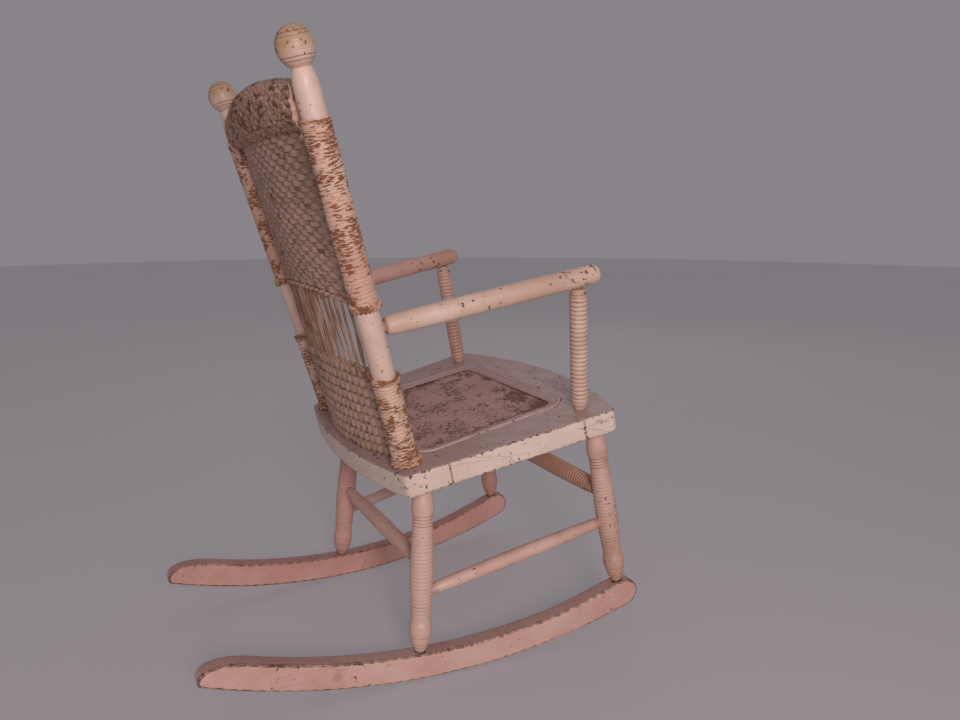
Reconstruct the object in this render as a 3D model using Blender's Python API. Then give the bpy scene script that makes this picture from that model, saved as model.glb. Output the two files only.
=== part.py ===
"""Child's rocking armchair with a woven paper-fibre back and a woven seat panel.

The chair is laid out in its own seat frame, in millimetres: X across the chair
(+X is the sitter's left), -Y towards the front, +Y towards the back, z = 0 on
the top of the seat. An empty carries that frame into the world, where the
chair rests on the floor with its seat leaning back by SEAT_TILT.
"""
import itertools
import math

import bmesh
import bpy
from mathutils import Vector

MILLI = 0.001                    # metres in a millimetre
GAP = 0.3                        # clearance between neighbouring pieces
SEAT_TILT = math.radians(11.2)   # lean of the seat when the chair stands free
SHIFT_Y = -71.69                 # puts the world origin under the middle
SIDES = ((1, "left"), (-1, "right"))     # sign of x, sitter's hand

# sizes that several sections share
SEAT_THICK = 24.0
LEG_RADIUS = 12.0
POST_FOOT = (130.0, 103.4, 0.0)
POST_BALL = (167.3, 133.0, 397.2)
POST_RADIUS = 11.75
LOWER_WRAP = (0.4, 99.0)         # bottom and top of the sleeves round the posts
UPPER_WRAP = (167.0, 340.0)

# rockers: both edges are arcs about one axis
ARC_Y, ARC_Z = -34.5, 461.3
ARC_RADIUS = 717.7
ARC_STEP = math.radians(1.2)     # one facet of the running edge

# finishes: base colour, roughness
PINK = (0.62, 0.43, 0.37)
CREAM = (0.66, 0.50, 0.42)
SALMON = (0.62, 0.33, 0.29)
MAUVE = (0.40, 0.25, 0.24)
FIBRE = (0.30, 0.21, 0.17)
BARE = (0.42, 0.27, 0.15)

CROSS_RAIL_FINISH = (MAUVE, 0.45)
SIDE_RAIL_FINISH = (PINK, 0.45)
PANEL_FINISH = (MAUVE, 0.75)
SPLINE_FINISH = (PINK, 0.5)
DOWEL_FINISH = (BARE, 0.7)
ROCKER_FINISH = (SALMON, 0.4)
LEG_FINISH = (PINK, 0.45)        # also the stretchers
POST_FINISH = (PINK, 0.42)       # also the armrests
WRAP_FINISH = (CREAM, 0.7)
SUPPORT_FINISH = (CREAM, 0.45)
WEAVE_FINISH = (FIBRE, 0.8)
ROLL_FINISH = (FIBRE, 0.85)
BOW_FINISH = (BARE, 0.6)

# angles in degrees above which an edge stays sharp
SLAB_SHARP, ROCKER_SHARP, LATHE_SHARP, BAND_SHARP, SWEEP_SHARP = 40, 35, 38, 40, 45


# ------------------------------------------------------------------ helpers
def lerp(first, last, part):
    return first + (last - first) * part


def spread(first, last, steps):
    """Evenly spaced values from first to last, both included."""
    return [lerp(first, last, k / steps) for k in range(steps + 1)]


def mirrored(point, side):
    return Vector((point[0] * side, point[1], point[2]))


def axis_turn(direction):
    """Rotation that lays local Z along a direction."""
    return direction.normalized().to_track_quat("Z", "Y")


def polar(radius, angle, z=0.0):
    return Vector((radius * math.cos(angle), radius * math.sin(angle), z))


def material(name, colour, roughness):
    mat = bpy.data.materials.new(name)
    mat.use_nodes = True
    inputs = mat.node_tree.nodes["Principled BSDF"].inputs
    inputs["Base Color"].default_value = (*colour, 1.0)
    inputs["Roughness"].default_value = roughness
    inputs["Metallic"].default_value = 0.0
    return mat


def publish(name, shape, finish=None, at=(0, 0, 0), turn=None, sharp=None):
    """Make a bmesh into a named object under the chair's empty."""
    bmesh.ops.recalc_face_normals(shape, faces=shape.faces)
    mesh = bpy.data.meshes.new(name)
    shape.to_mesh(mesh)
    shape.free()
    if sharp is not None:
        mesh.shade_smooth()
        mesh.set_sharp_from_angle(angle=math.radians(sharp))
    obj = bpy.data.objects.new(name, mesh)
    bpy.context.scene.collection.objects.link(obj)
    obj.parent = chair
    obj.location = Vector(at) * MILLI
    if turn is not None:
        obj.rotation_mode = "QUATERNION"
        obj.rotation_quaternion = turn
    if finish is not None:
        colour, roughness = finish
        mesh.materials.append(material(name + "_finish", colour, roughness))
    return obj


def as_cutter(obj):
    obj.hide_render = True
    obj.display_type = "WIRE"
    return obj


def cut(target, cutter):
    mod = target.modifiers.new("cut_" + cutter.name, "BOOLEAN")
    mod.operation = "DIFFERENCE"
    mod.solver = "EXACT"
    mod.object = cutter


def skin(shape, rings, closed_tube=False):
    """Skin a row of equal vertex rings; cap both ends, or join them."""
    count = len(rings[0])
    pairs = list(zip(rings, rings[1:]))
    if closed_tube:
        pairs.append((rings[-1], rings[0]))
    for low, high in pairs:
        for k in range(count):
            j = (k + 1) % count
            shape.faces.new((low[k], low[j], high[j], high[k]))
    if not closed_tube:
        shape.faces.new(list(reversed(rings[0])))
        shape.faces.new(rings[-1])


def lathe(name, start, end, profile, sides, finish, hollow=False):
    """Turned piece from start towards end.

    profile holds (distance from start, radius, level): a level slides that
    ring along the axis until it lies in the plane z = level, which lets a
    leaning post meet the seat squarely.
    """
    turn = axis_turn(end - start)
    axis = turn @ Vector((0, 0, 1))
    shape = bmesh.new()
    rings = []
    for distance, radius, level in profile:
        ring = []
        for k in range(sides):
            point = polar(radius, 2 * math.pi * (k + 0.5) / sides, distance)
            if level is not None:
                point.z += (level - (start + turn @ point).z) / axis.z
            ring.append(shape.verts.new(point * MILLI))
        rings.append(ring)
    skin(shape, rings, closed_tube=hollow)
    return publish(name, shape, finish, start, turn, LATHE_SHARP)


hole_numbers = itertools.count(1)


def drill(target, mouth, direction, radius, depth, lead=6.0, sides=12):
    """Blind hole whose flats stand GAP clear of a tenon of the given radius.

    The cutter starts lead outside the mouth.
    """
    shape = bmesh.new()
    corner_radius = (radius + GAP) / math.cos(math.pi / sides)
    bmesh.ops.create_cone(shape, cap_ends=True, segments=sides,
                          radius1=corner_radius * MILLI, radius2=corner_radius * MILLI,
                          depth=(depth + lead) * MILLI)
    middle = mouth + direction.normalized() * (depth - lead) / 2
    cutter = publish("hole_%02d" % next(hole_numbers), shape, at=middle,
                     turn=axis_turn(direction))
    cut(target, as_cutter(cutter))


def rounded(corners, steps):
    """Closed outline through (x, y, radius) corners, each arc in equal steps."""
    points = [Vector(corner[:2]) for corner in corners]
    outline = []
    for i, point in enumerate(points):
        radius = corners[i][2]
        if radius == 0:
            outline.append(point)
            continue
        to_last = (points[i - 1] - point).normalized()
        to_next = (points[(i + 1) % len(points)] - point).normalized()
        half_angle = to_last.angle(to_next) / 2
        tangent = radius / math.tan(half_angle)
        centre = point + (to_last + to_next).normalized() * (radius / math.sin(half_angle))
        first = point + to_last * tangent - centre
        last = point + to_next * tangent - centre
        turn = math.atan2(first.x * last.y - first.y * last.x, first.dot(last))
        for angle in spread(0.0, turn, steps):
            cosine, sine = math.cos(angle), math.sin(angle)
            outline.append(centre + Vector((first.x * cosine - first.y * sine,
                                            first.x * sine + first.y * cosine)))
    return outline


def rounded_rect(half_x, front_y, rear_y, radius, inset=0.0):
    left, front, rear = half_x - inset, front_y + inset, rear_y - inset
    radius -= inset
    return rounded([(-left, front, radius), (left, front, radius),
                    (left, rear, radius), (-left, rear, radius)], 6)


def clip(outline, keep_above, y):
    """Part of a plan outline on one side of a line of constant y."""
    kept = []
    for i, point in enumerate(outline):
        following = outline[(i + 1) % len(outline)]
        point_in = (point.y > y) == keep_above
        following_in = (following.y > y) == keep_above
        if point_in:
            kept.append(point)
        if point_in != following_in:
            kept.append(point.lerp(following, (y - point.y) / (following.y - point.y)))
    return kept


def slab(name, outline, bottom, top, finish=None, hole=None, sharp=None,
         bevel=0.0, bevel_edge=None, bevel_steps=2):
    """Plate of a plan outline between two levels, optionally a ring round a hole.

    bevel softens the level edges for which bevel_edge is true.
    """
    shape = bmesh.new()

    def loop(points, z):
        return [shape.verts.new(Vector((p.x, p.y, z)) * MILLI) for p in points]

    low, high = loop(outline, bottom), loop(outline, top)
    count = len(outline)
    for k in range(count):
        j = (k + 1) % count
        shape.faces.new((low[k], low[j], high[j], high[k]))
    if hole is None:
        shape.faces.new(list(reversed(low)))
        shape.faces.new(high)
    else:
        hole_low, hole_high = loop(hole, bottom), loop(hole, top)
        for k in range(count):
            j = (k + 1) % count
            shape.faces.new((hole_low[j], hole_low[k], hole_high[k], hole_high[j]))
            shape.faces.new((high[k], high[j], hole_high[j], hole_high[k]))
            shape.faces.new((low[j], low[k], hole_low[k], hole_low[j]))
    if bevel:
        edges = [e for e in shape.edges
                 if abs(e.verts[0].co.z - e.verts[1].co.z) < 1e-7 and bevel_edge(e)]
        bmesh.ops.bevel(shape, geom=edges, offset=bevel * MILLI, segments=bevel_steps,
                        profile=0.5, affect="EDGES", clamp_overlap=True)
    return publish(name, shape, finish, sharp=sharp)


# ---------------------------------------------------- empty file, seat frame
for old in list(bpy.data.objects):
    bpy.data.objects.remove(old, do_unlink=True)

# height of the seat frame's origin: the facet under the arcs' axis lies level
LIFT = (ARC_RADIUS * math.cos(ARC_STEP / 2)
        - (-ARC_Y * math.sin(SEAT_TILT) + ARC_Z * math.cos(SEAT_TILT)))

chair = bpy.data.objects.new("chair", None)
bpy.context.scene.collection.objects.link(chair)
chair.location = Vector((0, SHIFT_Y, LIFT)) * MILLI
chair.rotation_euler = (-SEAT_TILT, 0, 0)

# --------------------------------------------------------------------- seat
SEAT_REAR_Y, SEAT_REAR_BOW = 138.0, 19.0
SEAT_REAR_X, SEAT_FRONT_X = 160.0, 186.0         # half widths at the corners
SEAT_FRONT_Y = -150.5
SEAT_FRONT_RADIUS = 560.0                        # of the bowed front edge
FRONT_CORNER_RADIUS, REAR_CORNER_RADIUS = 9.0, 6.0
FRONT_BOW_X, REAR_BOW_X, BOW_STEPS = 150.0, 140.0, 12    # points along both bows
SEAM_FRONT_Y, SEAM_REAR_Y = -80.5, 72.0
SIDE_RAIL_INNER_X = 100.0                        # lies inside the opening
RAIL_BEVEL = 1.6

# half width, front y, rear y, corner radius
OPENING = (107.0, -88.0, 75.0, 18.0)
RABBET = (123.0, -103.5, 89.5, 28.0)
RABBET_DEPTH = 5.0
CUTTER_EXTRA = 5.0                               # how far cutters pass the seat
PANEL_INSET, PANEL_THICK = 0.4, 2.8
SPLINE_WIDTH, SPLINE_THICK, SPLINE_BEVEL = 15.0, 3.0, 1.0

DOWEL_RADIUS, DOWEL_LENGTH, DOWEL_SIDES = 4.0, 32.0, 10
DOWEL_CHAMFER, DOWEL_CHAMFER_LENGTH = 0.8, 1.0
# seam, its y, direction from the seam into the cross rail, x of the dowels
DOWEL_ROWS = (("front", SEAM_FRONT_Y, -1, (132.0, 167.0)),
              ("rear", SEAM_REAR_Y, 1, (130.0, 150.0)))


def seat_outline():
    """Plan of the whole seat, counter-clockwise from the front right corner."""
    rear_radius = (SEAT_REAR_X ** 2 + SEAT_REAR_BOW ** 2) / (2 * SEAT_REAR_BOW)

    def rear(x, radius=0):
        return (x, SEAT_REAR_Y - rear_radius + math.sqrt(rear_radius ** 2 - x ** 2), radius)

    def front(x, radius=0):
        return (x, SEAT_FRONT_Y + SEAT_FRONT_RADIUS
                - math.sqrt(SEAT_FRONT_RADIUS ** 2 - x ** 2), radius)

    corners = [front(-SEAT_FRONT_X, FRONT_CORNER_RADIUS)]
    corners += [front(x) for x in spread(-FRONT_BOW_X, FRONT_BOW_X, BOW_STEPS)]
    corners += [front(SEAT_FRONT_X, FRONT_CORNER_RADIUS), rear(SEAT_REAR_X, REAR_CORNER_RADIUS)]
    corners += [rear(x) for x in spread(REAR_BOW_X, -REAR_BOW_X, BOW_STEPS)]
    corners.append(rear(-SEAT_REAR_X, REAR_CORNER_RADIUS))
    return rounded(corners, 4)


def side_rail_plan(middle, side):
    """Side rail from the seat's outer edge to a line inside the opening."""
    outer = sorted((p for p in middle if p.x * side > 0), key=lambda p: -side * p.y)
    inner_x = side * SIDE_RAIL_INNER_X
    return [Vector((inner_x, outer[0].y)), Vector((inner_x, outer[-1].y))] + outer[::-1]


def outer_edge(edge):
    """True on the edges of the seat's outline, false along a seam or inner line."""
    start, end = (vert.co / MILLI for vert in edge.verts)
    for y in (SEAM_FRONT_Y, SEAM_REAR_Y):
        if abs(start.y - y) < 1 and abs(end.y - y) < 1:
            return False
    return not all(abs(abs(p.x) - SIDE_RAIL_INNER_X) < 0.01 for p in (start, end))


def build_rails():
    whole = seat_outline()
    half_gap = GAP / 2
    middle = clip(clip(whole, True, SEAM_FRONT_Y + half_gap), False, SEAM_REAR_Y - half_gap)
    plans = (("front", clip(whole, False, SEAM_FRONT_Y - half_gap), CROSS_RAIL_FINISH),
             ("rear", clip(whole, True, SEAM_REAR_Y + half_gap), CROSS_RAIL_FINISH),
             ("right", side_rail_plan(middle, -1), SIDE_RAIL_FINISH),
             ("left", side_rail_plan(middle, 1), SIDE_RAIL_FINISH))
    rails = {place: slab("seat_%s_rail" % place, plan, -SEAT_THICK, 0.0, finish,
                         sharp=SLAB_SHARP, bevel=RAIL_BEVEL, bevel_edge=outer_edge)
             for place, plan, finish in plans}
    opening = as_cutter(slab("seat_opening", rounded_rect(*OPENING),
                             -SEAT_THICK - CUTTER_EXTRA, CUTTER_EXTRA))
    rabbet = as_cutter(slab("seat_rabbet", rounded_rect(*RABBET), -RABBET_DEPTH, CUTTER_EXTRA))
    for rail in rails.values():
        cut(rail, opening)
        cut(rail, rabbet)
    return rails


def build_panel():
    """Woven panel in the rabbet, with a spline frame lying on its edge."""
    outline = rounded_rect(*RABBET, inset=PANEL_INSET)
    panel_bottom = -RABBET_DEPTH + GAP
    panel_top = panel_bottom + PANEL_THICK
    slab("seat_panel", outline, panel_bottom, panel_top, PANEL_FINISH, sharp=SLAB_SHARP)

    spline_bottom = panel_top + GAP
    split = (spline_bottom + SPLINE_THICK / 3) * MILLI     # parts top edges from bottom ones
    slab("seat_spline", outline, spline_bottom, spline_bottom + SPLINE_THICK, SPLINE_FINISH,
         hole=rounded_rect(*RABBET, inset=PANEL_INSET + SPLINE_WIDTH), sharp=SLAB_SHARP,
         bevel=SPLINE_BEVEL, bevel_edge=lambda e: e.verts[0].co.z > split, bevel_steps=1)


def build_dowels(rails):
    """Dowels across the seams between the cross rails and the side rails."""
    end_radius = DOWEL_RADIUS - DOWEL_CHAMFER
    profile = [(0, end_radius, None), (DOWEL_CHAMFER_LENGTH, DOWEL_RADIUS, None),
               (DOWEL_LENGTH - DOWEL_CHAMFER_LENGTH, DOWEL_RADIUS, None),
               (DOWEL_LENGTH, end_radius, None)]
    half = Vector((0, DOWEL_LENGTH / 2, 0))
    for place, y, outward, columns in DOWEL_ROWS:
        for side, hand in SIDES:
            for k, x in enumerate(columns):
                seam = Vector((x * side, y, -SEAT_THICK / 2))
                lathe("seat_dowel_%s_%s_%d" % (place, hand, k + 1), seam - half, seam + half,
                      profile, DOWEL_SIDES, DOWEL_FINISH)
                for rail, way in ((rails[place], outward), (rails[hand], -outward)):
                    drill(rail, seam, Vector((0, way, 0)), DOWEL_RADIUS,
                          DOWEL_LENGTH / 2 + 0.5, lead=2.0, sides=DOWEL_SIDES)


# ------------------------------------------------------------------- rockers
ROCKER_THICK = 19.0
ROCKER_X, ROCKER_TOE = 146.2, -0.0841    # middle of the section at y = 0, slope of x on y
ROCKER_HEIGHT = 29.3
FRONT_EXTRA_HEIGHT, FRONT_BLEND = 3.7, 110.0     # deeper over this run ahead of y = 0
ROCKER_FRONT_Y, ROCKER_REAR_Y = -113.0, 349.5    # ends of the running edge
ROCKER_TOP_REAR_Y, ROCKER_TOP_STEPS = 316.0, 26
NOSE_STEPS = 8
SHORTEST_FACET = 4.0
ROCKER_BEVEL = 1.7
# rear tip: y, rise above the rear end of the running edge
ROCKER_TAIL = ((350.4, 3.6), (348.4, 8.6), (343.4, 12.6), (336.0, 14.4), (327.0, 14.6))


def arc_point(angle):
    """Point of the running edge, as (y, z)."""
    return Vector((ARC_Y + ARC_RADIUS * math.sin(angle), ARC_Z - ARC_RADIUS * math.cos(angle)))


def rocker_top(y):
    """Level of the upper edge; the section is deeper towards the blunt front."""
    part = min(max(-y / FRONT_BLEND, 0.0), 1.0)
    height = ROCKER_HEIGHT + FRONT_EXTRA_HEIGHT * part * part * (3 - 2 * part)
    return ARC_Z - math.sqrt((ARC_RADIUS - height) ** 2 - (y - ARC_Y) ** 2)


def rocker_x(y, side):
    return side * (ROCKER_X + ROCKER_TOE * y)


def rocker_side_view():
    """Outline in Y and Z: running edge front to rear, then back over the top."""
    first = math.asin((ROCKER_FRONT_Y - ARC_Y) / ARC_RADIUS)
    last = math.asin((ROCKER_REAR_Y - ARC_Y) / ARC_RADIUS)
    first_facet = math.ceil((first - SEAT_TILT) / ARC_STEP - 0.5)
    last_facet = math.floor((last - SEAT_TILT) / ARC_STEP - 0.5)
    front_end, rear_end = arc_point(first), arc_point(last)
    points = [arc_point(SEAT_TILT + (k + 0.5) * ARC_STEP)
              for k in range(first_facet, last_facet + 1)]
    # the ends take the place of any facet corner too close to them at the
    # rear; at the front such a corner takes the place of the end
    if (points[0] - front_end).length >= SHORTEST_FACET:
        points.insert(0, front_end)
    if (rear_end - points[-1]).length < SHORTEST_FACET:
        points.pop()
    points.append(rear_end)
    points += [Vector((y, rear_end.y + rise)) for y, rise in ROCKER_TAIL]
    points += [Vector((y, rocker_top(y)))
               for y in spread(ROCKER_TOP_REAR_Y, ROCKER_FRONT_Y, ROCKER_TOP_STEPS)]
    low, high = front_end.y, rocker_top(ROCKER_FRONT_Y)
    middle, radius = (low + high) / 2, (high - low) / 2
    for k in range(1, NOSE_STEPS):
        angle = math.pi * k / NOSE_STEPS
        points.append(Vector((ROCKER_FRONT_Y - radius * math.sin(angle),
                              middle + radius * math.cos(angle))))
    return points


def build_rocker(side, hand):
    half = ROCKER_THICK / 2 * math.sqrt(1 + ROCKER_TOE ** 2)
    shape = bmesh.new()
    face = shape.faces.new([shape.verts.new(Vector((-half, p.x, p.y)) * MILLI)
                            for p in rocker_side_view()])
    moved = bmesh.ops.extrude_face_region(shape, geom=[face])["geom"]
    bmesh.ops.translate(shape, vec=Vector((2 * half * MILLI, 0, 0)),
                        verts=[item for item in moved if isinstance(item, bmesh.types.BMVert)])
    rims = [e for e in shape.edges if abs(e.verts[0].co.x - e.verts[1].co.x) < 1e-7]
    bmesh.ops.bevel(shape, geom=rims, offset=ROCKER_BEVEL * MILLI, segments=1, profile=0.5,
                    affect="EDGES", clamp_overlap=True)
    # toe the rocker in towards the back by sliding every section sideways
    for vert in shape.verts:
        vert.co.x += rocker_x(vert.co.y / MILLI, side) * MILLI
    return publish("rocker_" + hand, shape, ROCKER_FINISH, sharp=ROCKER_SHARP)


# ------------------------------------------------------- legs and stretchers
# place, top of the leg, y of its foot on the rocker
LEG_PLACES = (("rear", (117.0, 84.5, -SEAT_THICK), 135.5),
              ("front", (138.0, -119.0, -SEAT_THICK), -109.2))
LEG_TOP_TENON, LEG_TOP_HOLE, LEG_TOP_TENON_RADIUS = 12.0, 12.7, 6.0
LEG_FOOT_TENON, LEG_FOOT_HOLE, LEG_FOOT_TENON_RADIUS = 14.0, 14.6, 5.0
LEG_FOOT_RADIUS, LEG_FOOT_LIFT = 6.1, 1.3
LEG_TOP_SHARE = 0.74             # share of LEG_RADIUS under the seat
# share of the length from the top, share of LEG_RADIUS: a short swelling and a
# long one, then a ring above the slim foot
LEG_SHAPE = ((0.12, 0.88), (0.15, 0.98), (0.18, 1.01), (0.21, 0.97), (0.235, 0.90),
             (0.285, 0.90), (0.36, 0.97), (0.44, 1.01), (0.53, 1.05), (0.60, 1.04),
             (0.68, 1.0), (0.75, 0.95), (0.81, 0.88), (0.85, 1.0), (0.89, 1.0),
             (0.925, 0.91), (0.955, 0.78), (0.98, 0.62))

FRONT_STRETCHER_Z, REAR_STRETCHER_Z = -109.5, -115.0
SIDE_STRETCHER_REAR_Z, SIDE_STRETCHER_FRONT_Z = -146.5, -144.0
STRETCHER_TENON_STOP = 3.0       # tenons stop this far from a leg's axis
STRETCHER_CLEAR = LEG_RADIUS * 0.95 + 2.5        # swelling starts this far from it
STRETCHER_STATIONS = (0.05, 0.14, 0.28, 0.5, 0.72, 0.86, 0.95)


def build_leg(name, top, foot, rail, rocker):
    length = (foot - top).length
    shoulder = -SEAT_THICK - GAP
    foot_shoulder = length - LEG_FOOT_LIFT
    profile = [(-LEG_TOP_TENON, LEG_TOP_TENON_RADIUS, None),
               (0, LEG_TOP_TENON_RADIUS, shoulder),
               (0, LEG_RADIUS * LEG_TOP_SHARE, shoulder)]
    profile += [(part * length, share * LEG_RADIUS, None) for part, share in LEG_SHAPE]
    profile += [(foot_shoulder, LEG_FOOT_RADIUS, None),
                (foot_shoulder, LEG_FOOT_TENON_RADIUS, None),
                (length + LEG_FOOT_TENON, LEG_FOOT_TENON_RADIUS, None)]
    leg = lathe(name, top, foot, profile, 12, LEG_FINISH)
    drill(rail, top, top - foot, LEG_TOP_TENON_RADIUS, LEG_TOP_HOLE)
    drill(rocker, foot, foot - top, LEG_FOOT_TENON_RADIUS, LEG_FOOT_HOLE)
    return leg


def build_legs(rails, rockers):
    """Legs by (place, hand), each as its object, top and foot."""
    legs = {}
    for side, hand in SIDES:
        for place, top, foot_y in LEG_PLACES:
            top = mirrored(top, side)
            foot = Vector((rocker_x(foot_y, side), foot_y, rocker_top(foot_y)))
            leg = build_leg("leg_%s_%s" % (place, hand), top, foot, rails[place], rockers[hand])
            legs[place, hand] = (leg, top, foot)
    return legs


def build_stretcher(name, start_leg, start_z, end_leg, end_z, radius, tip_radius, fullness=0.55):
    """Round rail tenoned into two legs; a lower fullness swells sooner."""
    ends = []
    for (_, top, foot), z in ((start_leg, start_z), (end_leg, end_z)):
        ends.append(top.lerp(foot, (z - top.z) / (foot.z - top.z)))
    start, end = ends
    length = (end - start).length
    profile = [(STRETCHER_TENON_STOP, tip_radius, None), (STRETCHER_CLEAR, tip_radius, None)]
    for part in STRETCHER_STATIONS:
        swell = (radius - tip_radius) * math.sin(math.pi * part) ** fullness
        profile.append((lerp(STRETCHER_CLEAR, length - STRETCHER_CLEAR, part),
                        tip_radius + swell, None))
    profile += [(length - STRETCHER_CLEAR, tip_radius, None),
                (length - STRETCHER_TENON_STOP, tip_radius, None)]
    lathe(name, start, end, profile, 12, LEG_FINISH)
    for leg, near, far in ((start_leg, start, end), (end_leg, end, start)):
        inward = (far - near).normalized()
        drill(leg[0], near + inward * LEG_RADIUS, -inward, tip_radius,
              LEG_RADIUS - STRETCHER_TENON_STOP + 0.5, lead=8.0)


def build_stretchers(legs):
    build_stretcher("stretcher_front", legs["front", "right"], FRONT_STRETCHER_Z,
                    legs["front", "left"], FRONT_STRETCHER_Z,
                    radius=11.0, tip_radius=6.0, fullness=0.16)
    build_stretcher("stretcher_rear", legs["rear", "right"], REAR_STRETCHER_Z,
                    legs["rear", "left"], REAR_STRETCHER_Z, radius=9.0, tip_radius=5.5)
    for _, hand in SIDES:
        build_stretcher("stretcher_" + hand, legs["rear", hand], SIDE_STRETCHER_REAR_Z,
                        legs["front", hand], SIDE_STRETCHER_FRONT_Z, radius=8.0, tip_radius=5.6)


# ---------------------------------------------------------- posts of the back
BALL_RADIUS = 17.0
BALL_FIRST, BALL_LAST, BALL_STEPS = -58.0, 84.0, 9       # latitudes in degrees
POST_TENON, POST_HOLE, POST_TENON_RADIUS = 15.5, 16.6, 7.5
# distance from the foot, radius: straight shaft and the neck under the ball
POST_SHAPE = ((170.0, POST_RADIUS), (344.0, POST_RADIUS - 0.1), (367.0, 11.6), (371.5, 11.3),
              (375.5, 10.8), (379.0, 10.1), (382.0, 9.2), (384.2, 8.4))
WRAP_INNER = POST_RADIUS + 0.4
WRAP_OUTER = WRAP_INNER + 1.5
# name, (bottom, top), extra radius of the bottom rim, whether it sits on the seat
WRAPS = (("lower", LOWER_WRAP, 2.2, True), ("upper", UPPER_WRAP, 0.5, False))


def post_at(side, z):
    """Point on a post's axis at a given level."""
    foot, ball = mirrored(POST_FOOT, side), mirrored(POST_BALL, side)
    return foot.lerp(ball, (z - foot.z) / (ball.z - foot.z))


def build_post(side, hand, rear_rail):
    foot, ball = mirrored(POST_FOOT, side), mirrored(POST_BALL, side)
    length = (ball - foot).length
    profile = [(-POST_TENON, POST_TENON_RADIUS, None), (0, POST_TENON_RADIUS, GAP),
               (0, POST_RADIUS, GAP)]
    profile += [(distance, radius, None) for distance, radius in POST_SHAPE]
    for degrees in spread(BALL_FIRST, BALL_LAST, BALL_STEPS):
        angle = math.radians(degrees)
        profile.append((length + BALL_RADIUS * math.sin(angle),
                        BALL_RADIUS * math.cos(angle), None))
    post = lathe("back_post_" + hand, foot, ball, profile, 16, POST_FINISH)
    drill(rear_rail, foot, foot - ball, POST_TENON_RADIUS, POST_HOLE, sides=16)
    return post


def build_wraps(side, hand):
    """Thin sleeves round a post, with a rim at the bottom and a lip at the top."""
    foot, ball = mirrored(POST_FOOT, side), mirrored(POST_BALL, side)
    for place, (bottom, top), rim, seated in WRAPS:
        start = (post_at(side, bottom) - foot).length
        end = (post_at(side, top) - foot).length
        # distance up the sleeve, radius
        base = ((0.0, WRAP_INNER), (0.0, WRAP_OUTER + rim), (5.0, WRAP_OUTER + rim),
                (7.0, WRAP_OUTER))
        profile = [(start + rise, radius, bottom + rise if seated else None)
                   for rise, radius in base]
        profile += [(end - 5.0, WRAP_OUTER, None), (end - 4.0, WRAP_OUTER + 0.5, None),
                    (end, WRAP_OUTER + 0.4, None), (end, WRAP_INNER, None)]
        lathe("post_wrap_%s_%s" % (place, hand), foot, ball, profile, 16, WRAP_FINISH,
              hollow=True)


# ---------------------------------------------------------------------- arms
ARM_Z = 147.0                            # where the armrest's axis meets the post's
ARM_RADIUS = 10.5
ARM_FRONT = (167.8, -106.5, 145.8)       # on the armrest's axis, over the support
ARM_TIP_Y = -132.0
ARM_TENON_RADIUS = 5.5
# distance from the post's axis, radius: tenon, shoulder, shaft
ARM_SHAPE = ((3.2, ARM_TENON_RADIUS), (13.4, ARM_TENON_RADIUS), (13.4, 7.6), (17.0, 9.4),
             (24.0, 10.1), (60.0, ARM_RADIUS), (150.0, ARM_RADIUS + 0.2))
ARM_TIP_ANGLES = (20, 40, 60, 80)        # degrees round the domed tip

SUPPORT_FOOT = (150.2, -96.5, 0.0)
SUPPORT_RADIUS = 9.6
SUPPORT_TENON, SUPPORT_HOLE, SUPPORT_TENON_RADIUS = 13.5, 14.6, 5.5
SUPPORT_TOP_TENON_RADIUS = 5.0
# share of the reach, share of SUPPORT_RADIUS
SUPPORT_SHAPE = ((0.015, 0.70), (0.035, 0.86), (0.07, 0.97), (0.14, 1.0), (0.50, 1.02),
                 (0.82, 1.0), (0.875, 0.97), (0.905, 0.86))


def build_armrest(side, hand, post):
    start = post_at(side, ARM_Z)
    forward = (mirrored(ARM_FRONT, side) - start).normalized()
    tip = start + forward * ((ARM_TIP_Y - start.y) / forward.y)
    dome = (tip - start).length - ARM_RADIUS
    profile = [(distance, radius, None) for distance, radius in ARM_SHAPE]
    profile.append((dome, ARM_RADIUS, None))
    for degrees in ARM_TIP_ANGLES:
        angle = math.radians(degrees)
        profile.append((dome + ARM_RADIUS * math.sin(angle), ARM_RADIUS * math.cos(angle), None))
    armrest = lathe("armrest_" + hand, start, tip, profile, 16, POST_FINISH)
    drill(post, start + forward * POST_RADIUS, -forward, ARM_TENON_RADIUS,
          POST_RADIUS - 2.8, lead=4.0)
    return armrest


def build_arm_support(side, hand, front_rail, armrest):
    foot, over = mirrored(SUPPORT_FOOT, side), mirrored(ARM_FRONT, side)
    upward = (over - foot).normalized()
    reach = (over - foot).length
    shoulder = reach - ARM_RADIUS - 1.1
    profile = [(-SUPPORT_TENON, SUPPORT_TENON_RADIUS, None), (0, SUPPORT_TENON_RADIUS, GAP),
               (0, 6.4, GAP)]
    profile += [(reach * part, SUPPORT_RADIUS * share, None) for part, share in SUPPORT_SHAPE]
    profile += [(shoulder, 6.6, None), (shoulder, SUPPORT_TOP_TENON_RADIUS, None),
                (reach - 2.5, SUPPORT_TOP_TENON_RADIUS, None)]
    lathe("arm_support_" + hand, foot, over, profile, 16, SUPPORT_FINISH)
    drill(front_rail, foot, -upward, SUPPORT_TENON_RADIUS, SUPPORT_HOLE)
    drill(armrest, over - upward * ARM_RADIUS, upward, SUPPORT_TOP_TENON_RADIUS,
          ARM_RADIUS - 2.0)


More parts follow.
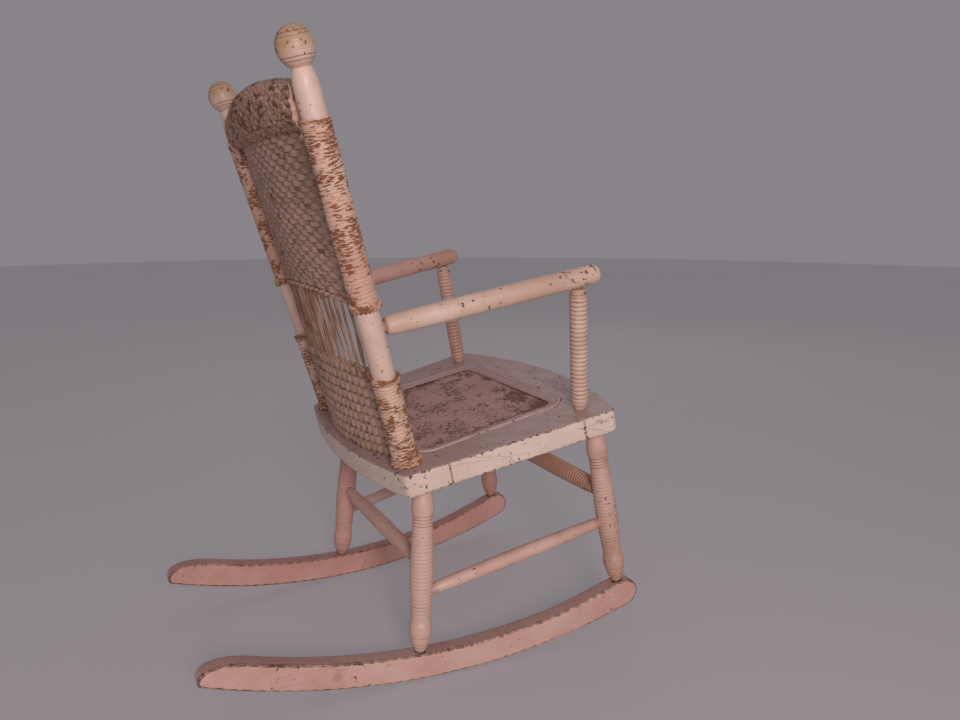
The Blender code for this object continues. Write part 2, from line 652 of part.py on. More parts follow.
# --------------------------------------------------------------- woven back
# Across the back, span runs from -1 (sitter's right) to +1 (left).
BACK_FOOT_X, BACK_FOOT_Y, BACK_FOOT_BOW = 112.0, POST_FOOT[1], 22.0
BACK_HEAD_X, BACK_HEAD_Y, BACK_HEAD_BOW = 145.6, 128.0, 14.0
BACK_HEAD_Z = 335.0
BAND_THICK, BAND_COLUMNS = 8.0, 22
BAND_EDGE, BAND_EDGE_SHARE = 2.0, 0.6    # height and thickness share of the thinned edges
LOWER_BAND_BOTTOM = 1.5
LOWER_BAND_TOP = (LOWER_WRAP[1], 108.0)  # at the posts, in the middle
UPPER_BAND_BOTTOM = (168.0, 182.0)       # at the posts, in the middle
UPPER_BAND_TOP = 331.5

ROLL_Z, ROLL_CROWN = 351.0, 10.0         # height at the posts, rise in the middle
ROLL_END_Y, ROLL_BOW = 126.5, 11.0
ROLL_HALF_HEIGHT = (19.5, 27.0)          # at the ends, in the middle
ROLL_HALF_DEPTH = 16.0
ROLL_SPAN = 0.893                        # the roll stops just short of the posts
ROLL_SQUARENESS = 0.85                   # exponent that squares up the oval
# share of ROLL_SPAN, scale of the section there
ROLL_END = ((-1.0, 0.80), (-0.985, 0.91), (-0.95, 0.98))
ROLL_STATIONS = (list(ROLL_END) + [(share, 1.0) for share in spread(-0.88, 0.88, 12)]
                 + [(-share, scale) for share, scale in reversed(ROLL_END)])

BOW_RADIUS, BOW_SPAN, BOW_STATIONS = 4.5, 0.972, 16
CHANNEL_CLEAR = 0.6                      # round the bow and past its ends

STAKES, STAKE_SPAN = 21, 0.94
STAKE_RADIUS, STAKE_SIDES = 1.6, 6
STAKE_FOOT_Z, STAKE_HEAD_Z = -10.0, 343.0
STAKE_CLEAR, STAKE_END_CLEAR = 0.4, 0.5


def back_point(span, z):
    """Middle surface of the woven back: ruled between two bowed lines."""
    arch = 1 - span * span
    foot = Vector((BACK_FOOT_X * span, BACK_FOOT_Y + BACK_FOOT_BOW * arch, 0.0))
    head = Vector((BACK_HEAD_X * span, BACK_HEAD_Y + BACK_HEAD_BOW * arch, BACK_HEAD_Z))
    return foot.lerp(head, z / BACK_HEAD_Z)


def back_normal(span, z):
    """Level normal of the middle surface, pointing to the rear."""
    across = back_point(span + 0.01, z) - back_point(span - 0.01, z)
    return Vector((-across.y, across.x, 0.0)).normalized()


def build_band(name, bottom_ends, top_ends):
    """Woven band; each edge is given by its level at the posts and in the middle."""
    shape = bmesh.new()
    rings = []
    for k in range(BAND_COLUMNS + 1):
        span = -1 + 2 * k / BAND_COLUMNS
        bottom = lerp(*bottom_ends, 1 - span * span)
        top = lerp(*top_ends, 1 - span * span)
        # level, share of the half thickness towards the rear
        section = ((bottom, -BAND_EDGE_SHARE), (bottom, BAND_EDGE_SHARE),
                   (bottom + BAND_EDGE, 1), (top - BAND_EDGE, 1),
                   (top, BAND_EDGE_SHARE), (top, -BAND_EDGE_SHARE),
                   (top - BAND_EDGE, -1), (bottom + BAND_EDGE, -1))
        rings.append([shape.verts.new((back_point(span, z)
                                       + back_normal(span, z) * share * BAND_THICK / 2) * MILLI)
                      for z, share in section])
    skin(shape, rings)
    return publish(name, shape, WEAVE_FINISH, sharp=BAND_SHARP)


def roll_point(span):
    """Point on the axis shared by the head roll and the bow inside it."""
    arch = 1 - span * span
    return Vector((post_at(1, ROLL_Z).x * span, ROLL_END_Y + ROLL_BOW * arch,
                   ROLL_Z + ROLL_CROWN * arch))


def sweep(name, path, sections, finish=None):
    """Skin sections of (rearward, up) pairs, one per station, along a path."""
    shape = bmesh.new()
    rings = []
    for i, (point, section) in enumerate(zip(path, sections)):
        along = (path[min(i + 1, len(path) - 1)] - path[max(i - 1, 0)]).normalized()
        rearward = Vector((-along.y, along.x, 0.0)).normalized()
        upward = along.cross(rearward)
        rings.append([shape.verts.new((point + rearward * depth + upward * height) * MILLI)
                      for depth, height in section])
    skin(shape, rings)
    return publish(name, shape, finish, sharp=SWEEP_SHARP)


def circle(radius):
    return [tuple(polar(radius, 2 * math.pi * j / 10).xy) for j in range(10)]


def roll_section(share, scale):
    """Squared oval, taller in the middle of the roll."""
    half_height = lerp(*ROLL_HALF_HEIGHT, 1 - share ** 2)
    section = []
    for j in range(16):
        angle = 2 * math.pi * (j + 0.5) / 16
        depth, height = (math.copysign(abs(value) ** ROLL_SQUARENESS, value)
                         for value in (math.cos(angle), math.sin(angle)))
        section.append((scale * ROLL_HALF_DEPTH * depth, scale * half_height * height))
    return section


def build_roll():
    return sweep("back_head_roll", [roll_point(ROLL_SPAN * share) for share, _ in ROLL_STATIONS],
                 [roll_section(*station) for station in ROLL_STATIONS], ROLL_FINISH)


def build_bow(roll, posts):
    """Bent rod that carries the roll: its ends are let into the posts."""
    path = [roll_point(span) for span in spread(-BOW_SPAN, BOW_SPAN, BOW_STATIONS)]
    sweep("back_top_bow", path, [circle(BOW_RADIUS)] * len(path), BOW_FINISH)
    path[0] = path[0] + (path[0] - path[1]).normalized() * CHANNEL_CLEAR
    path[-1] = path[-1] + (path[-1] - path[-2]).normalized() * CHANNEL_CLEAR
    channel = as_cutter(sweep("roll_channel", path,
                              [circle(BOW_RADIUS + CHANNEL_CLEAR)] * len(path)))
    for target in (roll, posts["left"], posts["right"]):
        cut(target, channel)


def build_stakes(targets):
    """Upright straight cords from the rear rail through both bands to the roll."""
    holes = bmesh.new()
    profile_radius = STAKE_RADIUS + STAKE_CLEAR
    for i, span in enumerate(spread(-STAKE_SPAN, STAKE_SPAN, STAKES - 1)):
        foot, head = back_point(span, STAKE_FOOT_Z), back_point(span, STAKE_HEAD_Z)
        lathe("back_stake_%02d" % (i + 1), foot, head,
              [(0, STAKE_RADIUS, None), ((head - foot).length, STAKE_RADIUS, None)],
              STAKE_SIDES, WEAVE_FINISH)
        turn = axis_turn(head - foot)
        extra = (head - foot).normalized() * STAKE_END_CLEAR
        offsets = [turn @ polar(profile_radius, 2 * math.pi * (k + 0.5) / STAKE_SIDES)
                   for k in range(STAKE_SIDES)]
        skin(holes, [[holes.verts.new((end + offset) * MILLI) for offset in offsets]
                     for end in (foot - extra, head + extra)])
    stake_holes = as_cutter(publish("stake_holes", holes))
    for target in targets:
        cut(target, stake_holes)


# ----------------------------------------------------------------- the chair
# The order of the steps sets the numbers of the holes and the order of the cuts.
rails = build_rails()
build_panel()
build_dowels(rails)
rockers = {hand: build_rocker(side, hand) for side, hand in SIDES}
build_stretchers(build_legs(rails, rockers))

posts = {hand: build_post(side, hand, rails["rear"]) for side, hand in SIDES}
for side, hand in SIDES:
    build_wraps(side, hand)
for side, hand in SIDES:
    armrest = build_armrest(side, hand, posts[hand])
    build_arm_support(side, hand, rails["front"], armrest)

lower_band = build_band("back_weave_lower", (LOWER_BAND_BOTTOM,) * 2, LOWER_BAND_TOP)
upper_band = build_band("back_weave_upper", UPPER_BAND_BOTTOM, (UPPER_BAND_TOP,) * 2)
roll = build_roll()
build_bow(roll, posts)
build_stakes((lower_band, upper_band, roll, rails["rear"]))
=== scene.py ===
"""Looks of a child's rocking armchair: painted turnings, cord-wrapped posts, woven back and seat.

Shapes are laid out in the seat frame in millimetres: X across, -Y to the front, z = 0 on the
seat, the sitter's left at +X. to_row() carries them to the row frame in metres, where the seat
leans back and the rockers stand on the floor. The camera looks from the rear right.
"""
import math

import bmesh
import bpy
import numpy as np
from mathutils import Matrix, Vector


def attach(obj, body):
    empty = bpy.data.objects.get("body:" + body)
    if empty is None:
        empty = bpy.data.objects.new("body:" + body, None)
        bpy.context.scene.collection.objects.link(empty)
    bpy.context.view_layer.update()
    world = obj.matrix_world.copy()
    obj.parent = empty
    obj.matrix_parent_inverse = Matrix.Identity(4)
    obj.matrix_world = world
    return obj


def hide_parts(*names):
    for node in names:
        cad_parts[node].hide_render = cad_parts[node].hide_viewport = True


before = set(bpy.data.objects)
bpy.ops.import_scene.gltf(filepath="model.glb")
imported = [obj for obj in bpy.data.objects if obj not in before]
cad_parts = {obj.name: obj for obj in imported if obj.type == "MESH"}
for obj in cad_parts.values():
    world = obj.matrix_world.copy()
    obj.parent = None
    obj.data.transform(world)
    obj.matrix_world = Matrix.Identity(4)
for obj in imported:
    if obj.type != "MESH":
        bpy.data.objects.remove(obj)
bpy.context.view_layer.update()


# ------------------------------------------------------------------ dimensions, mm
SIDES = ((1, "left"), (-1, "right"))

POST_FOOT, POST_BALL = (130.0, 103.4, 0.0), (167.3, 133.0, 397.2)
POST_R, BALL_R = 11.75, 17.0
WRAP_PITCH = 3.75

ARM_Z, ARM_R, ARM_TIP_Y = 147.0, 10.5, -132.0
ARM_FRONT = (167.8, -106.5, 145.8)          # where the arm crosses its support
SUPPORT_FOOT = (150.2, -96.5, 0.0)

SEAT_BOTTOM = -24.0
LEG_R = 12.0
LEGS = {"rear": ((117.0, 84.5, SEAT_BOTTOM), 135.5),      # top point, y of the foot
        "front": ((138.0, -119.0, SEAT_BOTTOM), -109.2)}

ARC_Y, ARC_Z, ARC_R = -34.5, 461.3, 717.7   # centre and radius of the rockers' underside
NOSE = ((296.0, -142.6), (324.0, -127.1), (350.5, -126.0), (350.6, -143.0))  # y, z controls

RABBET_X, RABBET_FRONT, RABBET_REAR, RABBET_CORNER = 123.0, -103.5, 89.5, 28.0
SPLINE_INSET, SHEET_INSET = 0.4, 0.6

STAKES = 21
BACK_HEIGHT = 335.0
ROLL_Z, ROLL_END = 351.0, 0.918             # height at the posts, end as a share of the span

# ------------------------------------------------------------------ seat and row frames
TILT = math.radians(11.2)
COS_TILT, SIN_TILT = math.cos(TILT), math.sin(TILT)
ROW_Y = -71.69
CENTRE_HEIGHT = ARC_R * math.cos(math.radians(0.6))        # arc centre above the floor
ROW_Z = CENTRE_HEIGHT - (-ARC_Y * SIN_TILT + ARC_Z * COS_TILT)


def to_row(points):
    """Seat frame, mm -> row frame, m."""
    x, y, z = np.moveaxis(np.asarray(points, float), -1, 0)
    return np.stack([x, y * COS_TILT + z * SIN_TILT + ROW_Y,
                     -y * SIN_TILT + z * COS_TILT + ROW_Z], -1) * 0.001


def to_seat(points):
    """Row frame, m -> seat frame, mm."""
    x, y, z = np.moveaxis(np.asarray(points, float) * 1000.0, -1, 0)
    y, z = y - ROW_Y, z - ROW_Z
    return np.stack([x, y * COS_TILT - z * SIN_TILT, y * SIN_TILT + z * COS_TILT], -1)


# ------------------------------------------------------------------ noise and curves
def cell_hash(i, j, k, seed):
    """Repeatable value in 0..1 for an integer cell."""
    i, j, k = (np.asarray(c).astype(np.int64) for c in (i, j, k))
    n = (i * 73856093) ^ (j * 19349663) ^ (k * 83492791)
    n = (n ^ (seed * 2654435)) & 0x7FFFFFFF
    n = ((n ^ (n >> 13)) * 1274126177) & 0x7FFFFFFF
    n = ((n ^ (n >> 15)) * 668265263) & 0x7FFFFFFF
    return (n ^ (n >> 14)) / float(0x7FFFFFFF)


def noise(x, y, z, seed):
    """Smooth value noise in -1..1."""
    at = np.broadcast_arrays(*(np.asarray(c, float) for c in (x, y, z)))
    cell = [np.floor(c) for c in at]
    part = [c - f for c, f in zip(at, cell)]
    part = [t * t * (3 - 2 * t) for t in part]
    out = 0.0
    for a in (0, 1):
        for b in (0, 1):
            for c in (0, 1):
                weight = (part[0] if a else 1 - part[0]) * (part[1] if b else 1 - part[1])
                weight = weight * (part[2] if c else 1 - part[2])
                out = out + weight * cell_hash(cell[0] + a, cell[1] + b, cell[2] + c, seed)
    return out * 2 - 1


def noise_at(points, size, seed):
    """Noise at 3D points, with grains of the given size."""
    return noise(*(points / np.asarray(size)).T, seed)


def noise_round(distance, angle, grain, around, seed):
    """Noise over a tube: rows by distance, columns by angle, with no seam."""
    return noise(distance[:, None] / grain, np.cos(angle)[None] * around,
                 np.sin(angle)[None] * around, seed)


def smooth_step(low, high, x):
    """0 at low to 1 at high, eased; low may be above high."""
    t = np.clip((x - low) / (high - low), 0, 1)
    return t * t * (3 - 2 * t)


def signed_power(x, power):
    return np.sign(x) * np.abs(x) ** power


def unit(vectors):
    return vectors / np.linalg.norm(vectors, axis=-1, keepdims=True)


def angles(count, offset=0):
    return 2 * np.pi * (np.arange(count) + offset) / count


def run_length(path):
    """Distance walked along a path at each of its points."""
    return np.r_[0, np.cumsum(np.linalg.norm(np.diff(path, axis=0), axis=1))]


def from_table(x, table):
    return np.interp(x, *np.array(table).T)


def mirrored(point, side):
    return np.array(point) * (side, 1, 1)


def at_height(start, end, z):
    """Point of the line start-end at height z (a number or an array)."""
    rise = np.asarray(z)[..., None] - start[2]
    return start + (end - start) * rise / (end[2] - start[2])


def post_line(side):
    return mirrored(POST_FOOT, side), mirrored(POST_BALL, side)


def post_at(side, z):
    return at_height(*post_line(side), z)


def arc_height(y, radius):
    return ARC_Z - np.sqrt(radius * radius - (y - ARC_Y) ** 2)


def rocker_top(y):
    depth = 29.3 + 3.7 * smooth_step(0.0, 110.0, -y)
    return arc_height(y, ARC_R - depth)


def leg_line(tag, side):
    top, foot_y = LEGS[tag]
    foot_x = side * (146.2 - 0.0841 * foot_y)       # the rockers splay towards the front
    return mirrored(top, side), np.array((foot_x, foot_y, rocker_top(foot_y)))


# ------------------------------------------------------------------ mesh builder
class Shape:
    """Closed skinned grids gathered into one mesh, with a UV map and point values."""

    def __init__(self):
        self.points, self.faces, self.uvs = [], [], []
        self.values, self.count = {}, 0

    def add(self, points, faces, uvs, **values):
        """Faces over points, one uv per face corner, one value per point."""
        self.points.append(points)
        self.faces += [[self.count + k for k in face] for face in faces]
        self.uvs.append(uvs)
        for key, value in values.items():
            self.values.setdefault(key, []).append((self.count, value))
        self.count += len(points)

    def skin(self, grid, u, v, loop=False, **values):
        """Rings of points joined in order; capped with fans, or end to end if loop."""
        rows, cols = grid.shape[:2]
        i, j = (k.ravel() for k in np.indices((rows if loop else rows - 1, cols)))
        below, beside = (i + 1) % rows, (j + 1) % cols
        quads = np.stack([i * cols + j, i * cols + beside,
                          below * cols + beside, below * cols + j], -1)
        maps = [np.broadcast_to(m, (rows, cols + 1)) for m in (u, v)]
        maps = [np.vstack([m, m[-1:]]) for m in maps]
        quad_uv = np.stack([np.stack([m[i, j], m[i, j + 1], m[i + 1, j + 1], m[i + 1, j]], -1)
                            for m in maps], -1)
        points = grid.reshape(-1, 3)
        fans, fan_uvs = [], []
        if not loop:
            points = np.vstack([points, grid[0].mean(0), grid[-1].mean(0)])
            ring = np.arange(cols)
            for row, centre, order in ((0, rows * cols, 1), (rows - 1, rows * cols + 1, -1)):
                fan = [np.full(cols, centre), row * cols + (ring + 1) % cols, row * cols + ring]
                fans.append(np.stack(fan, -1)[:, ::order])
                fan_uvs.append(np.repeat(np.stack([m[row, :cols] for m in maps], -1), 3, 0))
        # turn every face if the whole would point inwards
        triangles = np.vstack([quads[:, :3], quads[:, [0, 2, 3]], *fans])
        a, b, c = np.moveaxis(points[triangles] - points.mean(0), 1, 0)
        if np.einsum("ij,ij->i", a, np.cross(b, c)).sum() < 0:
            quads, quad_uv = quads[:, ::-1], quad_uv[:, ::-1]
            fans = [fan[:, ::-1] for fan in fans]
        faces = quads.tolist()
        for fan in fans:
            faces += fan.tolist()
        spread = {}
        for key, value in values.items():
            value = np.broadcast_to(np.asarray(value, float), (rows, cols)).reshape(-1)
            spread[key] = value if loop else np.r_[value, value[0], value[-1]]
        self.add(points, faces, np.vstack([quad_uv.reshape(-1, 2), *fan_uvs]), **spread)

    def make(self, name, material, slot, *nodes):
        """Make the object, in place of the named CAD nodes."""
        mesh = bpy.data.meshes.new(name)
        mesh.from_pydata(to_row(np.vstack(self.points)).tolist(), [], self.faces)
        uv_map = mesh.uv_layers.new(name="rows")
        uv_map.data.foreach_set("uv", np.vstack(self.uvs).astype(np.float32).ravel())
        for key, parts in self.values.items():
            data = np.zeros(self.count, np.float32)
            for base, value in parts:
                data[base:base + len(value)] = value
            mesh.attributes.new(key, "FLOAT", "POINT").data.foreach_set("value", data)
        mesh.shade_smooth()
        mesh.materials.append(material)
        mesh.update()
        ob = bpy.data.objects.new(name, mesh)
        bpy.context.scene.collection.objects.link(ob)
        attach(ob, "root")
        if nodes:
            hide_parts(*nodes)


def tube(shape, path, radius, sides, **values):
    """Round cord along a path."""
    forward = unit(np.gradient(path, axis=0))
    across = unit(np.cross(forward, (0.0, 1.0, 0.0)))
    out = np.cross(across, forward)
    angle = angles(sides)
    radius = np.broadcast_to(radius, (len(path),))
    ring = across[:, None] * np.cos(angle)[:, None] + out[:, None] * np.sin(angle)[:, None]
    girth = 2 * math.pi * float(np.mean(radius))
    shape.skin(path[:, None] + radius[:, None, None] * ring, run_length(path)[:, None],
               np.arange(sides + 1) / sides * girth, **values)


def spokes(start, end, angle):
    """Unit axis start-end, and unit vectors square to it at each angle."""
    axis = unit(end - start)
    side = unit(np.cross([0, 1.0, 0], axis))
    ring = np.cos(angle)[:, None] * side + np.sin(angle)[:, None] * np.cross(axis, side)
    return axis, ring


TURNING_MAP_R = 12.0       # radius that sets the width of every turning's UV map


def revolve(shape, start, end, distance, radius, sides, flat=None, **values):
    """Turned surface about start-end; radius is rings x sides (or x 1).

    flat = (height, rings) slides those rings along the axis to lie level."""
    axis, ring = spokes(start, end, angles(sides))
    points = start + distance[:, None, None] * axis + radius[:, :, None] * ring
    if flat:
        height, rows = flat
        for i in rows:
            points[i] += ((height - points[i][:, 2]) / axis[2])[:, None] * axis
    around = np.arange(sides + 1) / sides * 2 * math.pi * TURNING_MAP_R
    shape.skin(points, around, distance[:, None], **values)


def soft_profile(distance, knots, width):
    """Radius through (distance, radius) knots, with corners softened over width."""
    raw = from_table(distance, knots)
    step = float(np.median(np.diff(distance)))
    half = max(1, int(round(2.2 * width / step)))
    weight = np.exp(-(np.arange(-half, half + 1) * step / width) ** 2)
    weight /= weight.sum()
    return np.convolve(np.pad(raw, half, mode="edge"), weight, "valid")


def bead_grooves(distance, start, end, pitch, power):
    """0 on the crown of each bead to 1 in the groove between beads."""
    count = round((end - start) / pitch)
    t = np.mod((distance - start) / ((end - start) / count), 1.0)
    arch = np.clip(1 - (2 * t - 1) ** 2, 0, 1) ** power
    return np.where((distance >= start) & (distance <= end), 1 - arch, 0.0)


def vee_cuts(distance, table):
    """Cut depth and groove value for V grooves listed as (at, half width, depth)."""
    cut = groove = np.zeros_like(distance)
    for at, half_width, depth in table:
        vee = np.clip(1 - np.abs(distance - at) / half_width, 0, 1)
        cut, groove = np.maximum(cut, depth * vee), np.maximum(groove, vee)
    return cut, groove


# ------------------------------------------------------------------ node graphs
def srgb(r, g, b):
    """Linear RGBA of an 8-bit sRGB colour."""
    out = []
    for c in (r, g, b):
        c /= 255.0
        out.append(c / 12.92 if c <= 0.04045 else ((c + 0.055) / 1.055) ** 2.4)
    return (*out, 1.0)


class Graph:
    """A material and short calls that add nodes to it and return their outputs."""

    def __init__(self, name):
        self.material = bpy.data.materials.new(name)
        self.material.use_nodes = True
        self.tree = self.material.node_tree
        self.bsdf = self.tree.nodes["Principled BSDF"]
        self.object = self.node("TexCoord").outputs["Object"]

    def node(self, kind):
        return self.tree.nodes.new("ShaderNode" + kind)

    def link(self, value, socket):
        if hasattr(value, "links"):
            self.tree.links.new(value, socket)
        else:
            socket.default_value = value

    def math(self, operation, a, b):
        node = self.node("Math")
        node.operation = operation
        self.link(a, node.inputs[0])
        self.link(b, node.inputs[1])
        return node.outputs[0]

    def add(self, a, b):
        return self.math("ADD", a, b)

    def sub(self, a, b):
        return self.math("SUBTRACT", a, b)

    def mul(self, a, b):
        return self.math("MULTIPLY", a, b)

    def max(self, a, b):
        return self.math("MAXIMUM", a, b)

    def step(self, x, lo, hi, to=(0.0, 1.0)):
        """Smooth step of x over lo..hi, sent to the range `to`."""
        node = self.node("MapRange")
        node.interpolation_type = "SMOOTHSTEP"
        self.link(x, node.inputs["Value"])
        node.inputs["From Min"].default_value = lo
        node.inputs["From Max"].default_value = hi
        node.inputs["To Min"].default_value, node.inputs["To Max"].default_value = to
        return node.outputs[0]

    def mapped(self, vector, shift=(0, 0, 0), scale=(1, 1, 1)):
        node = self.node("Mapping")
        self.link(vector, node.inputs["Vector"])
        node.inputs["Location"].default_value = shift
        node.inputs["Scale"].default_value = scale
        return node.outputs[0]

    def noise(self, vector, scale, detail=3.0, rough=0.55, distortion=0.0):
        node = self.node("TexNoise")
        self.link(vector, node.inputs["Vector"])
        node.inputs["Scale"].default_value = scale
        node.inputs["Detail"].default_value = detail
        node.inputs["Roughness"].default_value = rough
        node.inputs["Distortion"].default_value = distortion
        return node.outputs["Fac"]

    def cell_edges(self, vector, scale):
        node = self.node("TexVoronoi")
        node.feature = "DISTANCE_TO_EDGE"
        self.link(vector, node.inputs["Vector"])
        node.inputs["Scale"].default_value = scale
        node.inputs["Randomness"].default_value = 1.0
        return node.outputs["Distance"]

    def mix(self, factor, a, b, amount=None):
        """Colour a to b by factor, itself scaled by amount."""
        if amount is not None:
            factor = self.mul(factor, amount)
        node = self.node("Mix")
        node.data_type = "RGBA"
        self.link(factor, node.inputs["Factor"])
        self.link(a, node.inputs[6])       # the colour sockets A and B
        self.link(b, node.inputs[7])
        return node.outputs[2]

    def attr(self, name):
        node = self.node("Attribute")
        node.attribute_name = name
        return node.outputs["Fac"]

    def split(self, vector):
        node = self.node("SeparateXYZ")
        self.link(vector, node.inputs[0])
        return node.outputs

    def rows_uv(self):
        node = self.node("UVMap")
        node.uv_map = "rows"
        return self.split(node.outputs[0])[:2]

    def join(self, x, y, z):
        node = self.node("CombineXYZ")
        for socket, value in zip(node.inputs, (x, y, z)):
            self.link(value, socket)
        return node.outputs[0]

    def add_vectors(self, a, b):
        node = self.node("VectorMath")
        node.operation = "ADD"
        self.link(a, node.inputs[0])
        self.link(b, node.inputs[1])
        return node.outputs[0]

    def bump(self, height, strength, distance, normal=None):
        node = self.node("Bump")
        node.inputs["Strength"].default_value = strength
        node.inputs["Distance"].default_value = distance
        self.link(height, node.inputs["Height"])
        if normal is not None:
            self.link(normal, node.inputs["Normal"])
        return node.outputs[0]

    def finish(self, colour, rough, normal=None, specular=0.45):
        self.link(colour, self.bsdf.inputs["Base Color"])
        self.link(rough, self.bsdf.inputs["Roughness"])
        self.bsdf.inputs["Specular IOR Level"].default_value = specular
        if normal is not None:
            self.link(normal, self.bsdf.inputs["Normal"])
        return self.material


# ------------------------------------------------------------------ old paint on wood
class PaintGraph(Graph):
    """A graph with the fields that every layer of the paint shares."""

    def __init__(self, name, seed, top):
        super().__init__(name)
        self.place = self.mapped(self.object, shift=seed)
        self.slow = self.noise(self.place, scale=9.0, detail=2.0)
        self.mid = self.noise(self.place, scale=55.0)
        self.wear = self.attr("wear")
        self.top = top                     # how much painted shade darkens the upward faces
        if top:
            self.up = self.split(self.node("NewGeometry").outputs["Normal"])[2]


def brushed_tones(g, main, second, grime):
    drift = g.add(g.slow, g.mul(g.mid, 0.35))
    colour = g.mix(g.step(drift, lo=0.5, hi=0.85), main, second)
    fine = g.noise(g.place, scale=900.0, detail=2.0)
    colour = g.mix(g.step(fine, lo=0.42, hi=0.72), colour, srgb(168, 134, 96), amount=0.22)
    # painted shade: faces that point up are darkened
    if g.top:
        upward_shade = g.step(g.up, lo=0.45, hi=0.9)
        colour = g.mix(upward_shade, colour, srgb(146, 102, 100), amount=g.top)
    dirt = g.step(g.noise(g.place, scale=26.0, detail=4.0, rough=0.65), lo=0.52, hi=0.78)
    return g.mix(dirt, colour, srgb(160, 122, 96), amount=grime)


def worn_thin(g, colour, groove):
    """Handled areas, bare patches, and grooves darkened to brown by grime and painted shade."""
    colour = g.mix(g.mul(g.wear, 0.72), colour, srgb(184, 142, 112),
                   amount=g.step(g.slow, lo=0.3, hi=0.6))
    bare = g.noise(g.mapped(g.place, shift=(1.1, 4.7, 2.3)), scale=85.0, rough=0.6,
                   distortion=0.3)
    patch = g.step(g.add(bare, g.mul(g.wear, 0.22)), lo=0.80, hi=0.84)
    wood = g.mix(g.mid, srgb(200, 168, 128), srgb(158, 118, 78))
    colour = g.mix(patch, colour, wood, amount=0.75)
    # grime and painted shade: grooves and the rings at joints are darkened to brown
    if groove:
        depth = g.step(g.attr("groove"), lo=0.25, hi=0.95)
        broken = g.step(g.noise(g.place, scale=90.0, detail=2.0), lo=0.30, hi=0.62,
                        to=(0.55, 1.0))
        colour = g.mix(g.mul(depth, broken), colour, srgb(112, 68, 46), amount=groove)
    return colour


def chipped(g, colour, chips, scale, edges):
    """A fine noise passes a threshold that a coarse noise opens in clusters."""
    fine = g.noise(g.place, scale=scale, distortion=0.4)
    coarse = g.noise(g.mapped(g.place, shift=(3.1, 1.7, 5.3)), scale=26.0, detail=2.0)
    level = g.sub(0.735 - 0.1 * chips, g.mul(g.step(coarse, lo=0.42, hi=0.70), 0.095))
    level = g.sub(level, g.mul(g.wear, 0.10))
    if edges:
        level = g.sub(level, g.mul(g.attr("edge"), 0.12))
    depth = g.sub(fine, level)
    hit = g.step(depth, lo=0.0, hi=0.010)
    core = g.step(depth, lo=0.015, hi=0.05)
    wood = g.mix(g.noise(g.place, scale=420.0, detail=2.0), srgb(124, 68, 46),
                 srgb(160, 118, 80))
    return g.mix(hit, colour, g.mix(core, srgb(74, 42, 28), wood)), hit


def edge_worn(g, colour, hit, amount, level, rub):
    """A ragged bare line on sharp edges, inside a softer rubbed band."""
    ragged = g.noise(g.place, scale=150.0, detail=4.0, rough=0.65)
    ragged = g.mul(g.sub(ragged, 0.5), 1.2)
    line = g.step(g.add(g.attr("edge"), ragged), lo=level, hi=level + 0.12)
    line = g.mul(line, amount)
    band = g.add(g.attr("edge"), g.mul(ragged, 0.16))
    line = g.max(line, g.step(band, lo=0.42, hi=0.62, to=(0.0, rub)))
    wood = g.mix(g.step(g.mid, lo=0.4, hi=0.6), srgb(84, 58, 44), srgb(116, 84, 60))
    return g.mix(line, colour, wood), g.max(hit, line)


def crack_lines(g, amount):
    """Long wavering cracks, shown only where a coarse noise lets them through."""
    waver = g.mul(g.noise(g.place, scale=45.0, detail=2.0), 0.010)
    stretched = g.mapped(g.mapped(g.place, scale=(1.2, 0.22, 3.4)), shift=(0.4, 0.2, 0.1))
    cells = g.cell_edges(g.add_vectors(stretched, g.join(waver, waver, waver)), scale=15.0)
    line = g.sub(1.0, g.step(cells, lo=0.0, hi=0.013))
    gate = g.noise(g.mapped(g.place, shift=(7, 2, 4)), scale=24.0, detail=2.0)
    crack = g.mul(g.mul(line, g.step(gate, lo=0.50, hi=0.58)), amount)
    if g.top:
        crack = g.mul(crack, g.step(g.up, lo=0.3, hi=0.7, to=(1.0, 0.3)))
    return crack


def paint(name, main, second, chips=0.0, chip_scale=230.0, groove=0.0, edge=None,
          edge_rub=0.60, cracks=0.0, rough=0.46, grime=0.25, top=0.0, seed=(0, 0, 0)):
    """Old brushed paint over brown wood. edge = (amount, level) of the bare line; top = how much
    painted shade darkens the upward faces.
    """
    g = PaintGraph(name, seed, top)
    colour = brushed_tones(g, main, second, grime)
    colour = worn_thin(g, colour, groove)
    colour, hit = chipped(g, colour, chips, chip_scale, edge)
    if edge:
        colour, hit = edge_worn(g, colour, hit, *edge, edge_rub)
    height = g.sub(g.mul(g.mid, 0.25), hit)
    if cracks:
        crack = crack_lines(g, cracks)
        colour = g.mix(crack, colour, srgb(134, 84, 50))
        height = g.sub(height, crack)
    normal = g.bump(height, strength=0.55, distance=0.0004)
    grain = g.noise(g.place, scale=420.0, detail=2.0)
    normal = g.bump(grain, strength=0.12, distance=0.0003, normal=normal)
    gloss = g.step(g.mid, lo=0.3, hi=0.7, to=(rough - 0.04, rough + 0.14))
    return g.finish(colour, g.add(g.mul(hit, 0.30), gloss), normal)


# ------------------------------------------------------------------ painted paper cord
def cord_wear_depth(g, u, v, fray, wear, stretch, gate_scale, open_at, seed):
    """How far the wear passes its threshold; dashes follow a row if stretch is one number."""
    if isinstance(stretch, tuple):
        place = g.mapped(g.mapped(g.object, shift=(seed, 2, 1)), scale=stretch)
    else:
        drift = g.noise(g.join(g.mul(u, 0.42), g.mul(v, 0.9), seed + 5.0), scale=1.0, rough=0.6)
        across = g.add(g.mul(v, 2.3), g.mul(drift, 0.9))
        place = g.join(g.mul(u, stretch), across, seed)
    worn = g.noise(place, scale=1.0)
    worn = g.add(worn, g.mul(g.sub(fray, 0.5), 0.22))
    gate = g.noise(g.mapped(g.object, shift=(1.3 + seed, 0.7, 2.1)), scale=gate_scale,
                   detail=2.0)
    opening = g.step(gate, lo=open_at[0], hi=open_at[1])
    level = g.sub(0.74 - wear * 0.1, g.mul(opening, 0.20))
    level = g.sub(level, g.mul(g.attr("wear"), 0.26))
    return g.sub(worn, level)


